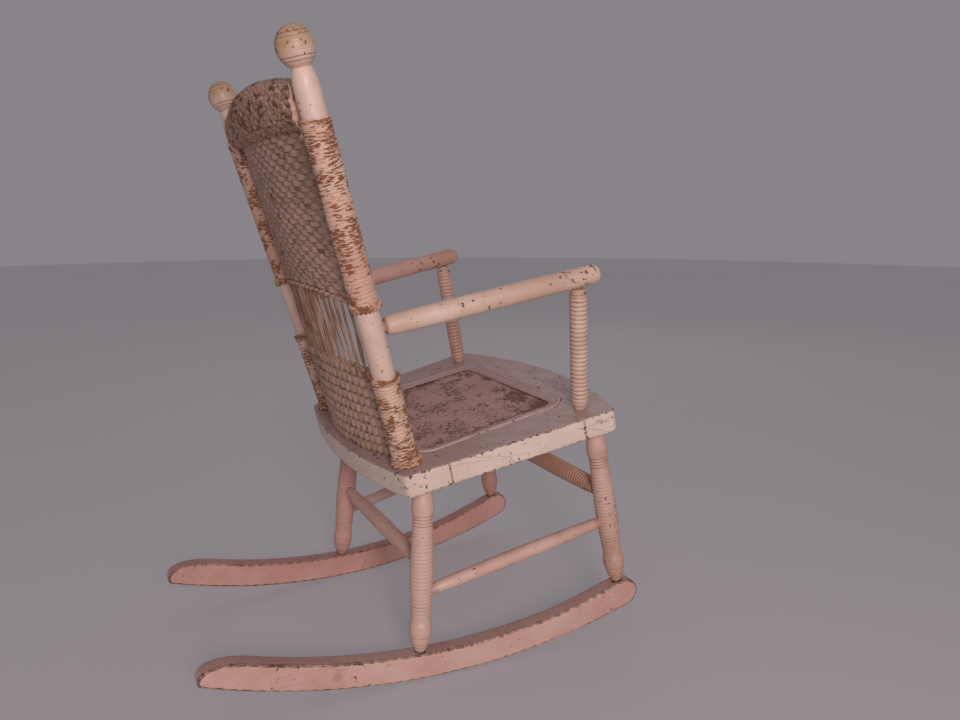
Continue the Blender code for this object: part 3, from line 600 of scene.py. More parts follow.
def cord(name, main, second, under, wear, stretch, gate_scale, crevice_shade, seed=0.0, tone=0.0,
         tone_at=(0.50, 0.86), open_at=(0.34, 0.62), line=(0.45, 1.0), crown=None,
         under_light=srgb(160, 112, 74)):
    """Painted paper cord: fine twist, painted shade between the turns, paint worn off in dashes.
    """
    g = Graph(name)
    u, v = g.rows_uv()
    slow = g.noise(g.mapped(g.object, shift=(seed, 0, 0)), scale=14.0)
    colour = g.mix(g.step(slow, lo=0.36, hi=0.66), main, second)
    twist = g.noise(g.join(g.mul(u, 0.45), g.mul(v, 2.4), seed), scale=1.0, detail=2.0)
    colour = g.mix(g.step(twist, lo=0.42, hi=0.7), colour, under, amount=0.16)
    if tone:
        toned = g.step(g.attr("tone"), lo=tone_at[0], hi=tone_at[1])
        colour = g.mix(toned, colour, under, amount=tone)
    crevice = g.attr("crevice")
    fray = g.noise(g.mapped(g.object, scale=(700.0,) * 3), scale=1.0, detail=2.0)
    depth = cord_wear_depth(g, u, v, fray, wear, stretch, gate_scale, open_at, seed)
    if crown:
        # only the proud part of each turn has lost its paint, with a ragged border
        ragged = g.add(crevice, g.mul(g.sub(fray, 0.5), 0.6))
        ragged = g.sub(ragged, g.mul(depth, 4.0))
        proud = {"x": ragged, "lo": crown, "hi": crown + 0.12, "to": (1.0, 0.0)}
    else:
        proud = {"x": crevice, "lo": 0.35, "hi": 0.75, "to": (1.0, 0.6)}
    hit = g.mul(g.step(depth, lo=0.0, hi=0.02), g.step(**proud))
    paper = g.mix(g.step(depth, lo=0.01, hi=0.07), srgb(96, 54, 36),
                  g.mix(fray, under, under_light))
    colour = g.mix(hit, colour, paper)
    # painted shade: the crevice value darkens the gaps between turns, rows and knots
    shadow = g.step(crevice, lo=line[0], hi=line[1])
    colour = g.mix(shadow, colour, srgb(72, 44, 34), amount=crevice_shade)
    height = g.add(g.mul(twist, 0.6), g.mul(hit, -0.9))
    height = g.add(height, g.mul(fray, 0.5))
    normal = g.bump(height, strength=0.5, distance=0.0004)
    return g.finish(colour, g.add(g.mul(hit, 0.22), 0.62), normal)


def bare_wood():
    g = Graph("bare_wood")
    ring = g.noise(g.mapped(g.object, scale=(260.0, 260.0, 18.0)), scale=1.0, rough=0.6,
                   distortion=0.6)
    colour = g.mix(g.step(ring, lo=0.3, hi=0.7), srgb(168, 124, 82), srgb(120, 80, 48))
    return g.finish(colour, g.step(ring, lo=0.3, hi=0.7, to=(0.55, 0.75)),
                    g.bump(ring, strength=0.3, distance=0.0003))


CREAM = (srgb(228, 196, 182), srgb(216, 178, 164))
PINKISH = (srgb(222, 182, 168), srgb(210, 162, 148))
SALMON = (srgb(224, 180, 168), srgb(210, 158, 146))

MATERIALS = {
    "turned": paint("paint_turnings", *CREAM, chips=-0.15, groove=0.55, rough=0.44),
    "arm_right": paint("paint_arm_near", *CREAM, chips=-0.05, groove=0.55, rough=0.44,
                       chip_scale=165.0, seed=(0.7, 0.2, 0.5)),
    # painted shade: the far arm is given a darker, pinker copy of the cream paint
    "arm_left": paint("paint_arm_far_shaded", srgb(214, 166, 158), srgb(200, 148, 140), chips=-0.05,
                      groove=0.55, rough=0.44, chip_scale=165.0, seed=(0.2, 0.5, 0.3)),
    "bead_right": paint("paint_beaded", *CREAM, groove=0.75, grime=0.5),
    # painted shade: the far arm support gets a darker, pinker copy of the cream paint
    "bead_left": paint("paint_beaded_far_shaded", srgb(224, 180, 166), srgb(212, 164, 148),
                       chips=0.15, groove=0.7, grime=0.4, seed=(0.4, 0.4, 0.9)),
    "leg_right": paint("paint_legs", *PINKISH, chips=-0.1, groove=0.6, grime=0.45,
                       seed=(0.3, 0.1, 0)),
    # painted shade: the far legs get a darker copy of the pink paint
    "leg_left": paint("paint_legs_far_shaded", srgb(216, 164, 154), srgb(204, 148, 138),
                      chips=-0.05, groove=0.6, grime=0.3, seed=(0.6, 0.3, 0.2)),
    "front_rail": paint("paint_front_stretcher", srgb(206, 158, 140), srgb(188, 136, 116),
                        chips=0.1, groove=0.85, rough=0.5, grime=0.5, seed=(0.8, 0.1, 0.2)),
    "plain": paint("paint_plain", *PINKISH, chips=-0.05, groove=0.4, grime=0.45,
                   seed=(0.5, 0.6, 0)),
    "rocker_right": paint("paint_rockers", *SALMON, edge=(0.9, 0.70), cracks=0.3,
                          seed=(0.2, 0.3, 0.6), top=0.55),
    # painted shade: the far rocker gets a darker copy of the salmon paint
    "rocker_left": paint("paint_rocker_far_shaded", srgb(218, 166, 154), srgb(206, 148, 136),
                         edge=(0.9, 0.70), cracks=0.2, seed=(0.5, 0.8, 0.6), top=0.55),
    "seat": paint("paint_seat", srgb(232, 208, 196), srgb(222, 192, 180), chips=0.30,
                  edge=(0.8, 1.02), edge_rub=0.15, cracks=0.42, rough=0.40, grime=0.22,
                  seed=(0.9, 0.4, 0.1), top=0.62, chip_scale=190.0),
    "spline": paint("paint_spline", srgb(216, 184, 180), srgb(202, 164, 156), chips=0.2,
                    rough=0.42, cracks=0.4, seed=(0.15, 0.9, 0.1), top=0.42),
    "wrap": cord("cord_wrap", srgb(220, 182, 162), srgb(208, 160, 140), srgb(142, 72, 44),
                 wear=0.82, stretch=0.135, gate_scale=46.0, crevice_shade=0.42, crown=0.46,
                 under_light=srgb(150, 100, 62), line=(0.62, 1.0), open_at=(0.32, 0.60)),
    "rim": cord("cord_rims", srgb(206, 160, 136), srgb(186, 140, 108), srgb(136, 84, 48),
                wear=0.5, stretch=0.16, gate_scale=60.0, crevice_shade=0.6, seed=0.3),
    "weave": cord("cord_weave", srgb(195, 155, 140), srgb(180, 146, 125), srgb(132, 96, 70),
                  wear=-0.6, stretch=0.10, gate_scale=22.0, crevice_shade=0.80, seed=0.4, tone=0.35,
                  line=(0.60, 1.0)),
    "stake": cord("cord_stakes", srgb(184, 142, 124), srgb(166, 128, 104), srgb(112, 74, 48),
                  wear=0.05, stretch=0.045, gate_scale=30.0, crevice_shade=0.45, seed=0.9, tone=0.55),
    "roll": cord("cord_head_roll", srgb(198, 154, 134), srgb(174, 136, 108), srgb(92, 50, 34),
                 wear=-0.1, stretch=(300.0,) * 3, gate_scale=50.0, crevice_shade=0.80, seed=1.3,
                 tone=0.85, tone_at=(0.70, 0.90)),
    "panel": cord("cord_seat_panel", srgb(200, 156, 150), srgb(186, 140, 132),
                  srgb(92, 58, 38), wear=0.40, stretch=(520.0, 190.0, 190.0),
                  gate_scale=36.0, crevice_shade=0.6, seed=2.2, under_light=srgb(124, 88, 58)),
    "bare": bare_wood(),
}

# ------------------------------------------------------------------ back posts
# distance up the post, radius
POST_PROFILE = [(0, POST_R), (170, POST_R), (344, 11.65), (364, 11.6), (368.5, 11.5),
                (372, 11.25), (375.5, 10.8), (378.5, 10.2), (381.3, 9.5), (383.5, 8.7),
                (384.8, 8.2)]
# the ball is turned in bands: groove from the ball's centre, half width, depth
BALL_GROOVES = [(14.3, 0.8, 0.30), (11.6, 1.0, 0.55), (8.4, 0.9, 0.38), (3.6, 0.8, 0.20),
                (-3.4, 0.8, 0.20), (-7.8, 1.0, 0.45), (-11.0, 1.0, 0.42)]


def make_post(side, hand):
    foot, ball = post_line(side)
    length = float(np.linalg.norm(ball - foot))
    body = np.r_[np.arange(0.0, 340, 4.0), np.arange(340, 384.6, 0.5)]
    polar = np.radians(np.linspace(-58.5, 90.0, 130))
    ball_d = length + (BALL_R + 0.35) * np.sin(polar)
    ball_r = (BALL_R - 0.2) * np.cos(polar) ** 0.88
    cut, _ = vee_cuts(ball_d, [(length + at, wide, deep) for at, wide, deep in BALL_GROOVES])
    # three rings of tenon below the seat, the body, then the ball
    distance = np.r_[-15.5, -15.0, 0.0, body, ball_d]
    radius = np.r_[6.8, 7.5, 7.5, from_table(body, POST_PROFILE),
                   np.maximum(ball_r - cut, 0.02)]
    groove = np.r_[0, 0, 0, 0.9 * (body > 383.6), np.clip(cut * 2.6, 0, 1)]
    wobble = 1 + 0.006 * noise_round(distance, angles(48), 40.0, 1.2, 5 + side)
    wear = smooth_step(383.5, 386.5, distance)
    wear = wear * (1.15 - 0.45 * smooth_step(length + 4, length - 6, distance))
    shape = Shape()
    revolve(shape, foot, ball, distance, radius[:, None] * wobble, 48, (0.3, (2, 3)),
            groove=groove[:, None], wear=wear[:, None])
    shape.make("post_" + hand, MATERIALS["turned"], "painted_turnings", "back_post_" + hand)


for side, hand in SIDES:
    make_post(side, hand)

# ------------------------------------------------------------------ post wraps
WRAP_SIDES = 60


def wrap_sleeve(side, first, last, level, seed):
    """Cord wound round a post between two distances, as a sleeve with an inner wall.

    With a level, the rings near the first end lean to lie flat at that height."""
    foot, ball = post_line(side)
    inner_r = POST_R + 0.3
    along = np.arange(first, last + 1e-6, WRAP_PITCH / 10)
    angle = 2 * np.pi * np.arange(WRAP_SIDES + 1) / WRAP_SIDES
    turns = along[:, None] / WRAP_PITCH - angle[None] / (2 * np.pi)
    turns = turns + (0.17 * noise_round(along, angle, 5.0, 1.1, seed)
                     + 0.45 * noise_round(along, angle, 31.0, 0.5, seed + 6))
    arch = np.sqrt(np.clip(1 - (2 * np.mod(turns, 1.0) - 1) ** 2, 0, 1))
    proud = 0.34 * noise(np.floor(turns) * 1.7, np.cos(angle)[None] * 1.6,
                         np.sin(angle)[None] * 1.6, seed + 3)
    cord_r = 0.30 + 1.20 * arch ** 0.8 + proud * arch
    # ends taper under the rims
    fade = np.minimum(smooth_step(0, 1.2, along - first), smooth_step(0, 1.2, last - along))
    radius = (POST_R + 0.35 + cord_r * (0.25 + 0.75 * fade[:, None]))[:, :-1]
    axis, ring = spokes(foot, ball, angle[:-1])

    def rings(distance, radius):
        points = foot + distance[:, None, None] * axis + radius[:, :, None] * ring
        if level is not None:
            height = level + (distance - first) * axis[2]
            drop = (height[:, None] - points[..., 2]) / axis[2]
            flat = smooth_step(16.0, 0.0, distance - first)
            points = points + (drop * flat[:, None])[..., None] * axis
        return points

    distance = np.r_[along[0], along, along[-1]]
    rim = np.full((1, WRAP_SIDES), inner_r)
    outer = rings(distance, np.vstack([rim, radius, rim]))
    inner = rings(distance, np.full((len(distance), WRAP_SIDES), inner_r))[::-1][12::12]
    closing = 1 + len(inner)
    # crevice: painted shade between the turns, on the closing rings and on the inner wall
    crevice = np.vstack([np.ones((1, WRAP_SIDES)), 1 - arch[:, :-1],
                         np.ones((closing, WRAP_SIDES))])
    ends = np.exp(-((along - first) / 9.0) ** 2) + np.exp(-((along - last) / 7.0) ** 2)
    wear = np.r_[1, np.clip(ends, 0, 1) * 0.25, np.ones(closing)]
    shape = Shape()
    shape.skin(np.concatenate([outer, inner]), angle * (POST_R + 1.5),
               np.vstack([turns[:1], turns, np.repeat(turns[-1:], closing, 0)]), loop=True,
               crevice=crevice, wear=wear[:, None])
    return shape


def ring_cord(shape, side, z, stand_off, thick, tilt, turn, wear, seed, twists):
    """A two-strand cord tied round a post, tilted along the axis, or level if tilt is 0."""
    around = angles(132)
    cos, sin = np.cos(around), np.sin(around)
    axis, ring = spokes(*post_line(side), around)
    radius = POST_R + stand_off
    base = post_at(side, z) + ring * radius + axis * (tilt * np.cos(around - turn))[:, None]
    if tilt == 0:
        base = base + ((z - base[:, 2]) / axis[2])[:, None] * axis
    sides = 9
    section = angles(sides)
    wear = np.clip(wear + 0.5 * noise(cos * 2.5, sin * 2.5, seed, 31), 0, 1.3)
    for strand in (0, 1):
        twist = twists * around + math.pi * strand + 0.5 * noise(cos * 2, sin * 2, seed, seed + 20)
        path = base + ring * (0.495 * thick * np.cos(twist))[:, None]
        path = path + axis * (0.558 * thick * np.sin(twist))[:, None]
        grain = noise(cos * 3.2, sin * 3.2, seed * 1.3 + strand, seed)
        strand_r = 0.62 * thick * (1 + 0.22 * grain)
        points = path[:, None] + strand_r[:, None, None] * (
            np.cos(section)[:, None] * ring[:, None] + np.sin(section)[:, None] * axis)
        # crevice: painted shade on each strand's side towards the post
        shape.skin(points, (around * radius)[:, None],
                   np.arange(sides + 1) / sides * 0.98 + seed * 7 + strand * 3, loop=True,
                   crevice=np.clip(-np.cos(section), 0, 1)[None], wear=wear[:, None])


# height, stand-off, thickness, tilt, direction of tilt (None: by side), wear, seed, twists
RIM_CORDS = {
    "lower": [(2.9, 2.4, 2.5, 0, 0, -0.1, 3, 5), (6.8, 2.0, 2.1, 0, 0, 0.0, 5, 4),
              (97.8, 1.5, 2.4, 2.8, None, 0.55, 6, 3),
              (94.4, 1.3, 1.7, 1.8, None, -0.1, 8, 9)],
    "upper": [(168.8, 1.6, 2.2, 1.0, 2.0, 0.25, 9, 11), (172.6, 1.6, 2.2, 1.4, 0.6, 0.15, 10, 10),
              (338.6, 1.1, 1.6, 1.5, 1.0, 0.1, 12, 4)],
}


def post_run(z):
    """Distance along a post from its foot to height z."""
    return float(np.linalg.norm(post_at(1, z) - POST_FOOT))


# tag, first and last distance along the post, level of the first ring, seed
WRAPS = [("lower", 0.3, post_run(97.0), 0.5, 11),
         ("upper", post_run(169.0), post_run(339.0), None, 15)]

for side, hand in SIDES:
    side_turn = math.pi * (0.2 if side < 0 else 0.8)
    for tag, first, last, level, wrap_seed in WRAPS:
        node = "post_wrap_%s_%s" % (tag, hand)
        sleeve = wrap_sleeve(side, first, last, level, wrap_seed + side)
        sleeve.make("wrap_%s_%s" % (tag, hand), MATERIALS["wrap"], "fibre_wrap", node)
        rims = Shape()
        for z, stand_off, thick, tilt, turn, wear, seed, twists in RIM_CORDS[tag]:
            ring_cord(rims, side, z, stand_off, thick, tilt,
                      side_turn if turn is None else turn, wear, seed + side, twists)
        rims.make("rims_%s_%s" % (tag, hand), MATERIALS["rim"], "fibre_wrap", node)


# ------------------------------------------------------------------ arms and supports
def make_arm(side, hand):
    start, over = post_at(side, ARM_Z), mirrored(ARM_FRONT, side)
    direction = unit(over - start)
    tip = start + direction * ((ARM_TIP_Y - start[1]) / direction[1])
    length = float(np.linalg.norm(tip - start))
    body = np.r_[np.arange(13.4, 40, 1.0), np.arange(40, length - 14, 4.0)]
    # distance from the post's axis, radius
    profile = [(13.4, 7.4), (14.6, 8.4), (17, 9.4), (20.5, 10.0), (25, 10.25), (60, ARM_R),
               (150, 10.7), (length - 10, ARM_R)]
    polar = np.radians(np.linspace(0, 90, 28))
    distance = np.r_[3.2, 3.4, 13.4, body, length - ARM_R + ARM_R * np.sin(polar)]
    radius = np.r_[5.0, 5.5, 5.5, from_table(body, profile),
                   np.maximum(ARM_R * np.cos(polar) ** 0.92, 0.02)]
    groove = np.zeros(len(distance))
    groove[2:5] = 0.9
    wobble = 1 + 0.012 * noise_round(distance, angles(44), 35.0, 1.0, 21 + side)
    share = np.clip(distance / length, 0, 1)
    wear = 0.25 + 0.60 * smooth_step(0.55, 0.95, share)
    wear = wear + 0.5 * np.exp(-((share - 0.36) / 0.03) ** 2)
    shape = Shape()
    revolve(shape, start, tip, distance, radius[:, None] * wobble, 44,
            groove=groove[:, None], wear=wear[:, None])
    shape.make("arm_" + hand, MATERIALS["arm_" + hand], "painted_turnings",
               "armrest_" + hand)


# share of the support's length, radius
SUPPORT_PROFILE = [(0, 6.4), (0.015, 6.7), (0.035, 8.3), (0.07, 9.3), (0.14, 9.6), (0.5, 9.8),
                   (0.82, 9.6), (0.875, 9.3), (0.905, 8.3)]


def make_support(side, hand):
    foot, over = mirrored(SUPPORT_FOOT, side), mirrored(ARM_FRONT, side)
    reach = float(np.linalg.norm(over - foot))
    body_end = reach - ARM_R - 1.0
    body = np.arange(0.0, body_end, 0.42)
    knots = [(reach * share, r) for share, r in SUPPORT_PROFILE] + [(body_end - 0.1, 6.6)]
    bead = bead_grooves(body, 9.0, reach * 0.865, pitch=4.7, power=0.70)
    vee_cut, vee = vee_cuts(body, [(4.6, 0.9, 0.5), (reach * 0.885, 0.8, 0.4)])
    cut = np.maximum(1.35 * bead, vee_cut)
    # tenon, foot, body, then the tenon into the arm
    distance = np.r_[-13.5, -13.3, 0, 0, body, body_end, reach - 2.6, reach - 2.5]
    radius = np.r_[5.0, 5.5, 5.5, 6.4, soft_profile(body, knots, 0.9) - cut, 5.0, 5.0, 4.5]
    groove = np.r_[0, 0, 0.5, 0.5, np.maximum(bead, vee), 1, 1, 1]
    wear = 0.8 * smooth_step(reach * 0.84, reach * 0.90, distance)
    shape = Shape()
    revolve(shape, foot, over, distance, radius[:, None], 40, (0.3, (2, 3, 4)),
            groove=groove[:, None], wear=wear[:, None])
    shape.make("support_" + hand, MATERIALS["bead_" + hand], "painted_turnings",
               "arm_support_" + hand)


for side, hand in SIDES:
    make_arm(side, hand)
    make_support(side, hand)

# ------------------------------------------------------------------ legs and stretchers
# share of the leg's length from its top, share of LEG_R
LEG_PROFILE = [(0, .74), (.06, .80), (0.12, 0.88), (0.15, 0.98), (0.18, 1.01), (0.208, 0.98),
               (0.224, 0.90), (0.285, 0.90), (0.36, 0.97), (0.44, 1.01), (0.53, 1.05),
               (0.60, 1.04), (0.68, 1.0), (0.75, 0.95), (0.815, 0.88), (0.83, 0.90),
               (0.85, 1.0), (0.89, 1.0), (0.92, 0.92), (0.955, 0.79), (0.98, 0.62), (1.0, 0.50)]
# share of the leg's length, half width, depth
LEG_GROOVES = [(0.228, 0.95, 0.9), (0.246, 0.95, 0.9), (0.264, 0.95, 0.9), (0.282, 0.95, 0.8),
               (0.915, 0.9, 0.6), (0.955, 0.9, 0.5), (0.978, 0.8, 0.4)]
BEAD_DEPTH = {"front": 0.85, "rear": 0.58}
LEG_WEAR = {"front": 0.30, "rear": 0.0}


def make_leg(tag, side, hand):
    top, foot = leg_line(tag, side)
    length = float(np.linalg.norm(foot - top))
    body = np.arange(0.0, length - 1.0, 0.42)
    knots = [(share * length, r * LEG_R) for share, r in LEG_PROFILE]
    bead = bead_grooves(body, 0.30 * length, 0.80 * length, pitch=3.9, power=0.55)
    bead_cut = BEAD_DEPTH[tag] * bead * (0.75 + 0.45 * noise(body / 9.0, side * 2.0, 0.0, 70))
    vee_cut, vee = vee_cuts(body, [(at * length, wide, deep) for at, wide, deep in LEG_GROOVES])
    cut = np.maximum(bead_cut, vee_cut)
    # tenons run into the seat above and the rocker below
    distance = np.r_[-12, -11.8, 0, 0, body, length - 1.0, length + 13.6, length + 14.0]
    radius = np.r_[5.5, 6, 6, 0.74 * LEG_R, soft_profile(body, knots, 1.3) - cut, 5.0, 5.0, 4.5]
    # the tenon and foot rings take some groove darkening: grime and painted shade at the joints
    groove = np.r_[0, 0, 0.4, 0.4, np.maximum(bead, vee), 0.4, 0.4, 0.4]
    share = distance / length
    wear = smooth_step(0.90, 1.0, share) * 0.5 + LEG_WEAR[tag] * smooth_step(0.25, 0.5, share)
    shape = Shape()
    revolve(shape, top, foot, distance, radius[:, None], 40, (SEAT_BOTTOM - 0.3, (2, 3, 4)),
            groove=groove[:, None], wear=np.clip(wear, 0, 1)[:, None])
    node = "leg_%s_%s" % (tag, hand)
    shape.make(node + "_turned", MATERIALS["leg_" + hand], "painted_turnings", node)


def make_rail(where, start, end, radius, tip_r, material, fullness=0.55, bead_pitch=None):
    """Stretcher between two leg axes, fullest at the middle, beaded if it has a pitch."""
    length = float(np.linalg.norm(end - start))
    clear = LEG_R * 0.95 - 1.0
    body = np.arange(clear, length - clear, 0.42 if bead_pitch else 1.5)
    t = np.clip((body - clear - 3) / (length - 2 * clear - 6), 0, 1)
    body_r = tip_r + (radius - tip_r) * np.sin(np.pi * t) ** fullness
    bead = 0 * body
    if bead_pitch:
        bead = bead_grooves(body, clear + 9, length - clear - 9, bead_pitch, power=0.85)
    distance = np.r_[3.0, 3.2, body, length - 3.2, length - 3.0]
    ring_r = np.r_[tip_r - 0.5, tip_r, body_r - 1.75 * bead, tip_r, tip_r - 0.5]
    groove = np.r_[1, 1, bead, 1, 1]
    # the ends by the legs take groove darkening as well: grime and painted shade where the
    # stretcher meets the leg
    for joint in (slice(2, 8), slice(-8, -2)):
        groove[joint] = np.maximum(groove[joint], 0.7)
    wobble = 1 + 0.012 * noise_round(distance, angles(36), 30.0, 1.0, 33)
    shape = Shape()
    revolve(shape, start, end, distance, ring_r[:, None] * wobble, 36, groove=groove[:, None])
    shape.make("rail_" + where, MATERIALS[material], "painted_turnings", "stretcher_" + where)


def on_leg(tag, side, z):
    return at_height(*leg_line(tag, side), z)


for side, hand in SIDES:
    for tag in LEGS:
        make_leg(tag, side, hand)

make_rail("front", on_leg("front", -1, -109.5), on_leg("front", 1, -109.5), radius=11.0,
          tip_r=6.0, material="front_rail", fullness=0.16, bead_pitch=4.8)
make_rail("rear", on_leg("rear", -1, -115.0), on_leg("rear", 1, -115.0), radius=9.0,
          tip_r=5.5, material="plain")
for side, hand in SIDES:
    make_rail(hand, on_leg("rear", side, -146.5), on_leg("front", side, -144.0), radius=8.0,
              tip_r=5.6, material="plain")


# ------------------------------------------------------------------ seat boards and rockers
def remeshed(node, name):
    """Object with a fine voxel remesh of a CAD solid, laid in the seat frame (in metres)."""
    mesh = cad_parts[node].data.copy()
    bm = bmesh.new()
    bm.from_mesh(mesh)
    bmesh.ops.remove_doubles(bm, verts=bm.verts, dist=1e-6)
    for vert in bm.verts:
        vert.co = (to_seat(np.array(vert.co)) * 0.001).tolist()
    bm.to_mesh(mesh)
    bm.free()
    ob = bpy.data.objects.new(name, mesh)
    bpy.context.scene.collection.objects.link(ob)
    remesh = ob.modifiers.new("grid", "REMESH")
    remesh.mode = "VOXEL"
    remesh.voxel_size = 0.001
    remesh.adaptivity = 0.0
    bpy.context.view_layer.update()
    depsgraph = bpy.context.evaluated_depsgraph_get()
    fine = bpy.data.meshes.new_from_object(ob.evaluated_get(depsgraph))
    ob.modifiers.clear()
    ob.data = fine
    return ob


def smooth_nose(points):
    """Put one smooth curve over the rear nose in place of the solid's few facets."""
    t = np.linspace(0, 1, 60)[:, None]
    a, b, c, d = np.array(NOSE)
    curve = (1 - t) ** 3 * a + 3 * t * (1 - t) ** 2 * b + 3 * t * t * (1 - t) * c + t ** 3 * d
    curve = curve[:int(np.argmax(curve[:, 0])) + 1]
    # y, z along the top of the CAD solid
    solid_top = [(y, rocker_top(y)) for y in range(280, 317, 2)]
    solid_top += [(327.0, -130.4), (336.0, -130.6), (343.4, -132.4), (348.4, -136.4),
                  (350.4, -141.4)]
    y, z = points[:, 1], points[:, 2]
    bottom = arc_height(y, ARC_R)
    old_top, new_top = from_table(y, solid_top), from_table(y, curve)
    share = np.clip((z - bottom) / np.maximum(old_top - bottom, 1.0), 0, 1) ** 1.5
    lift = (new_top - old_top) * share * smooth_step(350.2, 347.5, y)
    points = points.copy()
    points[:, 2] += np.where(y > NOSE[0][0], lift, 0.0)
    return points


def worn_copy(node, name, material, amount, seed, nose=False):
    """A CAD solid with its edges eased and nicked, and an edge value for the paint."""
    ob = remeshed(node, name)
    mesh = ob.data
    count = len(mesh.vertices)
    points, normals = np.zeros(count * 3), np.zeros(count * 3)
    mesh.vertices.foreach_get("co", points)
    mesh.vertices.foreach_get("normal", normals)
    points, normals = points.reshape(-1, 3) * 1000.0, normals.reshape(-1, 3)
    ends = np.zeros(len(mesh.edges) * 2, int)
    mesh.edges.foreach_get("vertices", ends)
    one, other = ends.reshape(-1, 2).T
    degree = np.bincount(ends, minlength=count).astype(float)[:, None]

    def neighbour_mean(data):
        sums = [np.bincount(one, column[other], count) + np.bincount(other, column[one], count)
                for column in data.T]
        return np.stack(sums, -1) / degree

    wide = points
    for _ in range(3):
        wide = neighbour_mean(wide)
    bulge = np.einsum("ij,ij->i", points - wide, normals)       # above 0 on convex edges
    edge = smooth_step(0.06, 0.24, bulge)
    for _ in range(2):
        edge = np.maximum(edge, 0.85 * neighbour_mean(edge[:, None])[:, 0])
    if nose:
        points = smooth_nose(points)
    nick = np.clip(noise_at(points, 2.6, seed) * 1.7 - 0.45, 0, 1)
    rub = 0.5 + 0.5 * noise_at(points, 22, seed + 4)
    brush = 0.05 * noise_at(points, (14, 30, 9), seed + 7)
    points = points + (neighbour_mean(points) - points) * (0.35 * edge[:, None] + 0.25)
    loss = edge * (amount * nick + 0.15 * amount * rub)
    points = points - normals * (loss - brush)[:, None]
    mesh.vertices.foreach_set("co", to_row(points).astype(np.float32).ravel())
    shown = np.clip(edge * (0.70 + 0.45 * rub), 0, 1).astype(np.float32)
    mesh.attributes.new("edge", "FLOAT", "POINT").data.foreach_set("value", shown)
    mesh.materials.clear()
    mesh.materials.append(material)
    mesh.shade_smooth()
    mesh.update()
    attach(ob, "root")
    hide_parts(node)


for k, part in enumerate(("front", "rear", "left", "right")):
    worn_copy("seat_%s_rail" % part, "seat_%s_board" % part, MATERIALS["seat"],
              amount=0.6, seed=40 + k)
for k, (side, hand) in enumerate(SIDES):
    worn_copy("rocker_" + hand, "rocker_%s_board" % hand, MATERIALS["rocker_" + hand],
              amount=0.8, seed=50 + k, nose=True)


# ------------------------------------------------------------------ seat spline ring
def rabbet_outline(inset, side_steps=40, corner_steps=16):
    """Points and outward directions round the rabbet, counter-clockwise from above."""
    radius = RABBET_CORNER - inset
    x = RABBET_X - RABBET_CORNER
    front, rear = RABBET_FRONT + RABBET_CORNER, RABBET_REAR - RABBET_CORNER
    corners = [(-x, front, math.pi), (x, front, 1.5 * math.pi), (x, rear, 0.0),
               (-x, rear, 0.5 * math.pi)]
    points, directions = [], []
    for i, (cx, cy, start) in enumerate(corners):
        angle = start + 0.5 * math.pi * np.arange(corner_steps + 1) / corner_steps
        out = np.stack([np.cos(angle), np.sin(angle)], -1)
        bend = (cx, cy) + radius * out
        next_x, next_y, _ = corners[(i + 1) % 4]
        side_end = np.array((next_x, next_y)) + radius * out[-1]
        step = np.arange(1, side_steps)[:, None]
        points += [bend, bend[-1] + (side_end - bend[-1]) * step / side_steps]
        directions += [out, np.repeat(out[-1:], side_steps - 1, 0)]
    return np.vstack(points), np.vstack(directions)


# section of the ring: distance inwards, z, groove
SPLINE_SECTION = [
    (0.0, -1.5, 0.6), (0.15, -0.2, 0.6), (0.9, 0.75, 0), (2.1, 1.2, 0), (3.4, 1.25, 0),
    (4.6, 0.95, 0), (5.6, 0.35, 0.4), (6.1, -0.10, 1.0), (6.7, 0.05, 0.5), (8.6, -0.05, 0),
    (10.8, -0.35, 0), (12.8, -0.85, 0), (14.2, -1.35, 0.2), (15.0, -1.6, 0.8),
    (11, -1.62, 1), (5, -1.62, 1.0)]


def make_spline():
    points, outward = rabbet_outline(SPLINE_INSET)
    inward, z, groove = np.array(SPLINE_SECTION).T
    run = run_length(points)
    station = np.arange(len(z))
    # the underside, below -1.45, stays even
    wave = 0.25 * noise(run[:, None] / 17.0, station[None] * 0.35, 0.0, 61) * (z > -1.45)
    flat = points[:, None] - outward[:, None] * (inward + 0.5 * wave)[..., None]
    shape = Shape()
    shape.skin(np.concatenate([flat, (z + wave)[..., None]], -1), run[:, None],
               np.arange(len(z) + 1.0), loop=True, groove=groove[None])
    shape.make("spline_ring", MATERIALS["spline"], "painted_spline", "seat_spline")


make_spline()

# ------------------------------------------------------------------ woven seat sheet
SHEET_COLUMNS, SHEET_ROWS = 244, 186
WEAVE_X, WEAVE_Y = 3.3, 4.6                 # pitch of the weave across and front to rear
SHEET_CORNER = 26.0
SHEET_X = RABBET_X - SHEET_INSET
SHEET_FRONT, SHEET_REAR = RABBET_FRONT + SHEET_INSET, RABBET_REAR - SHEET_INSET


def round_corners(x, y):
    """Pull the corners of the rectangular sheet in to arcs."""
    middle, half_y = (SHEET_FRONT + SHEET_REAR) / 2, (SHEET_REAR - SHEET_FRONT) / 2
    core_x, core_y = SHEET_X - SHEET_CORNER, half_y - SHEET_CORNER
    dx = np.clip(np.abs(x) - core_x, 0, None)
    dy = np.clip(np.abs(y - middle) - core_y, 0, None)
    reach = np.hypot(dx, dy)
    outside = reach > SHEET_CORNER
    pull = np.where(outside, SHEET_CORNER / np.maximum(reach, 1e-6), 1.0)
    return (np.where(outside, np.sign(x) * (core_x + dx * pull), x),
            np.where(outside, middle + np.sign(y - middle) * (core_y + dy * pull), y))


def sheet_wear(x, y):
    """Worn most where the sheet turns under the spline, above all at the front right."""
    front_line = np.abs(y - SHEET_FRONT - 18)
    front_right = smooth_step(30, 4, front_line) * smooth_step(40, -70, x)
    right = smooth_step(13, 0, np.abs(x + SHEET_X - 18)) * 0.8
    right = right * (0.35 + 0.65 * smooth_step(20, -90, y))
    left = smooth_step(11, 0, np.abs(x - SHEET_X + 19)) * 0.75
    front = smooth_step(12, 0, front_line) * 0.6
    wear = np.clip(np.maximum.reduce([front_right, right, left, front]), 0, 1)
    return wear * np.clip(0.70 + 0.8 * noise(x / 22, y / 17, 3.0, 73), 0, 1.1)


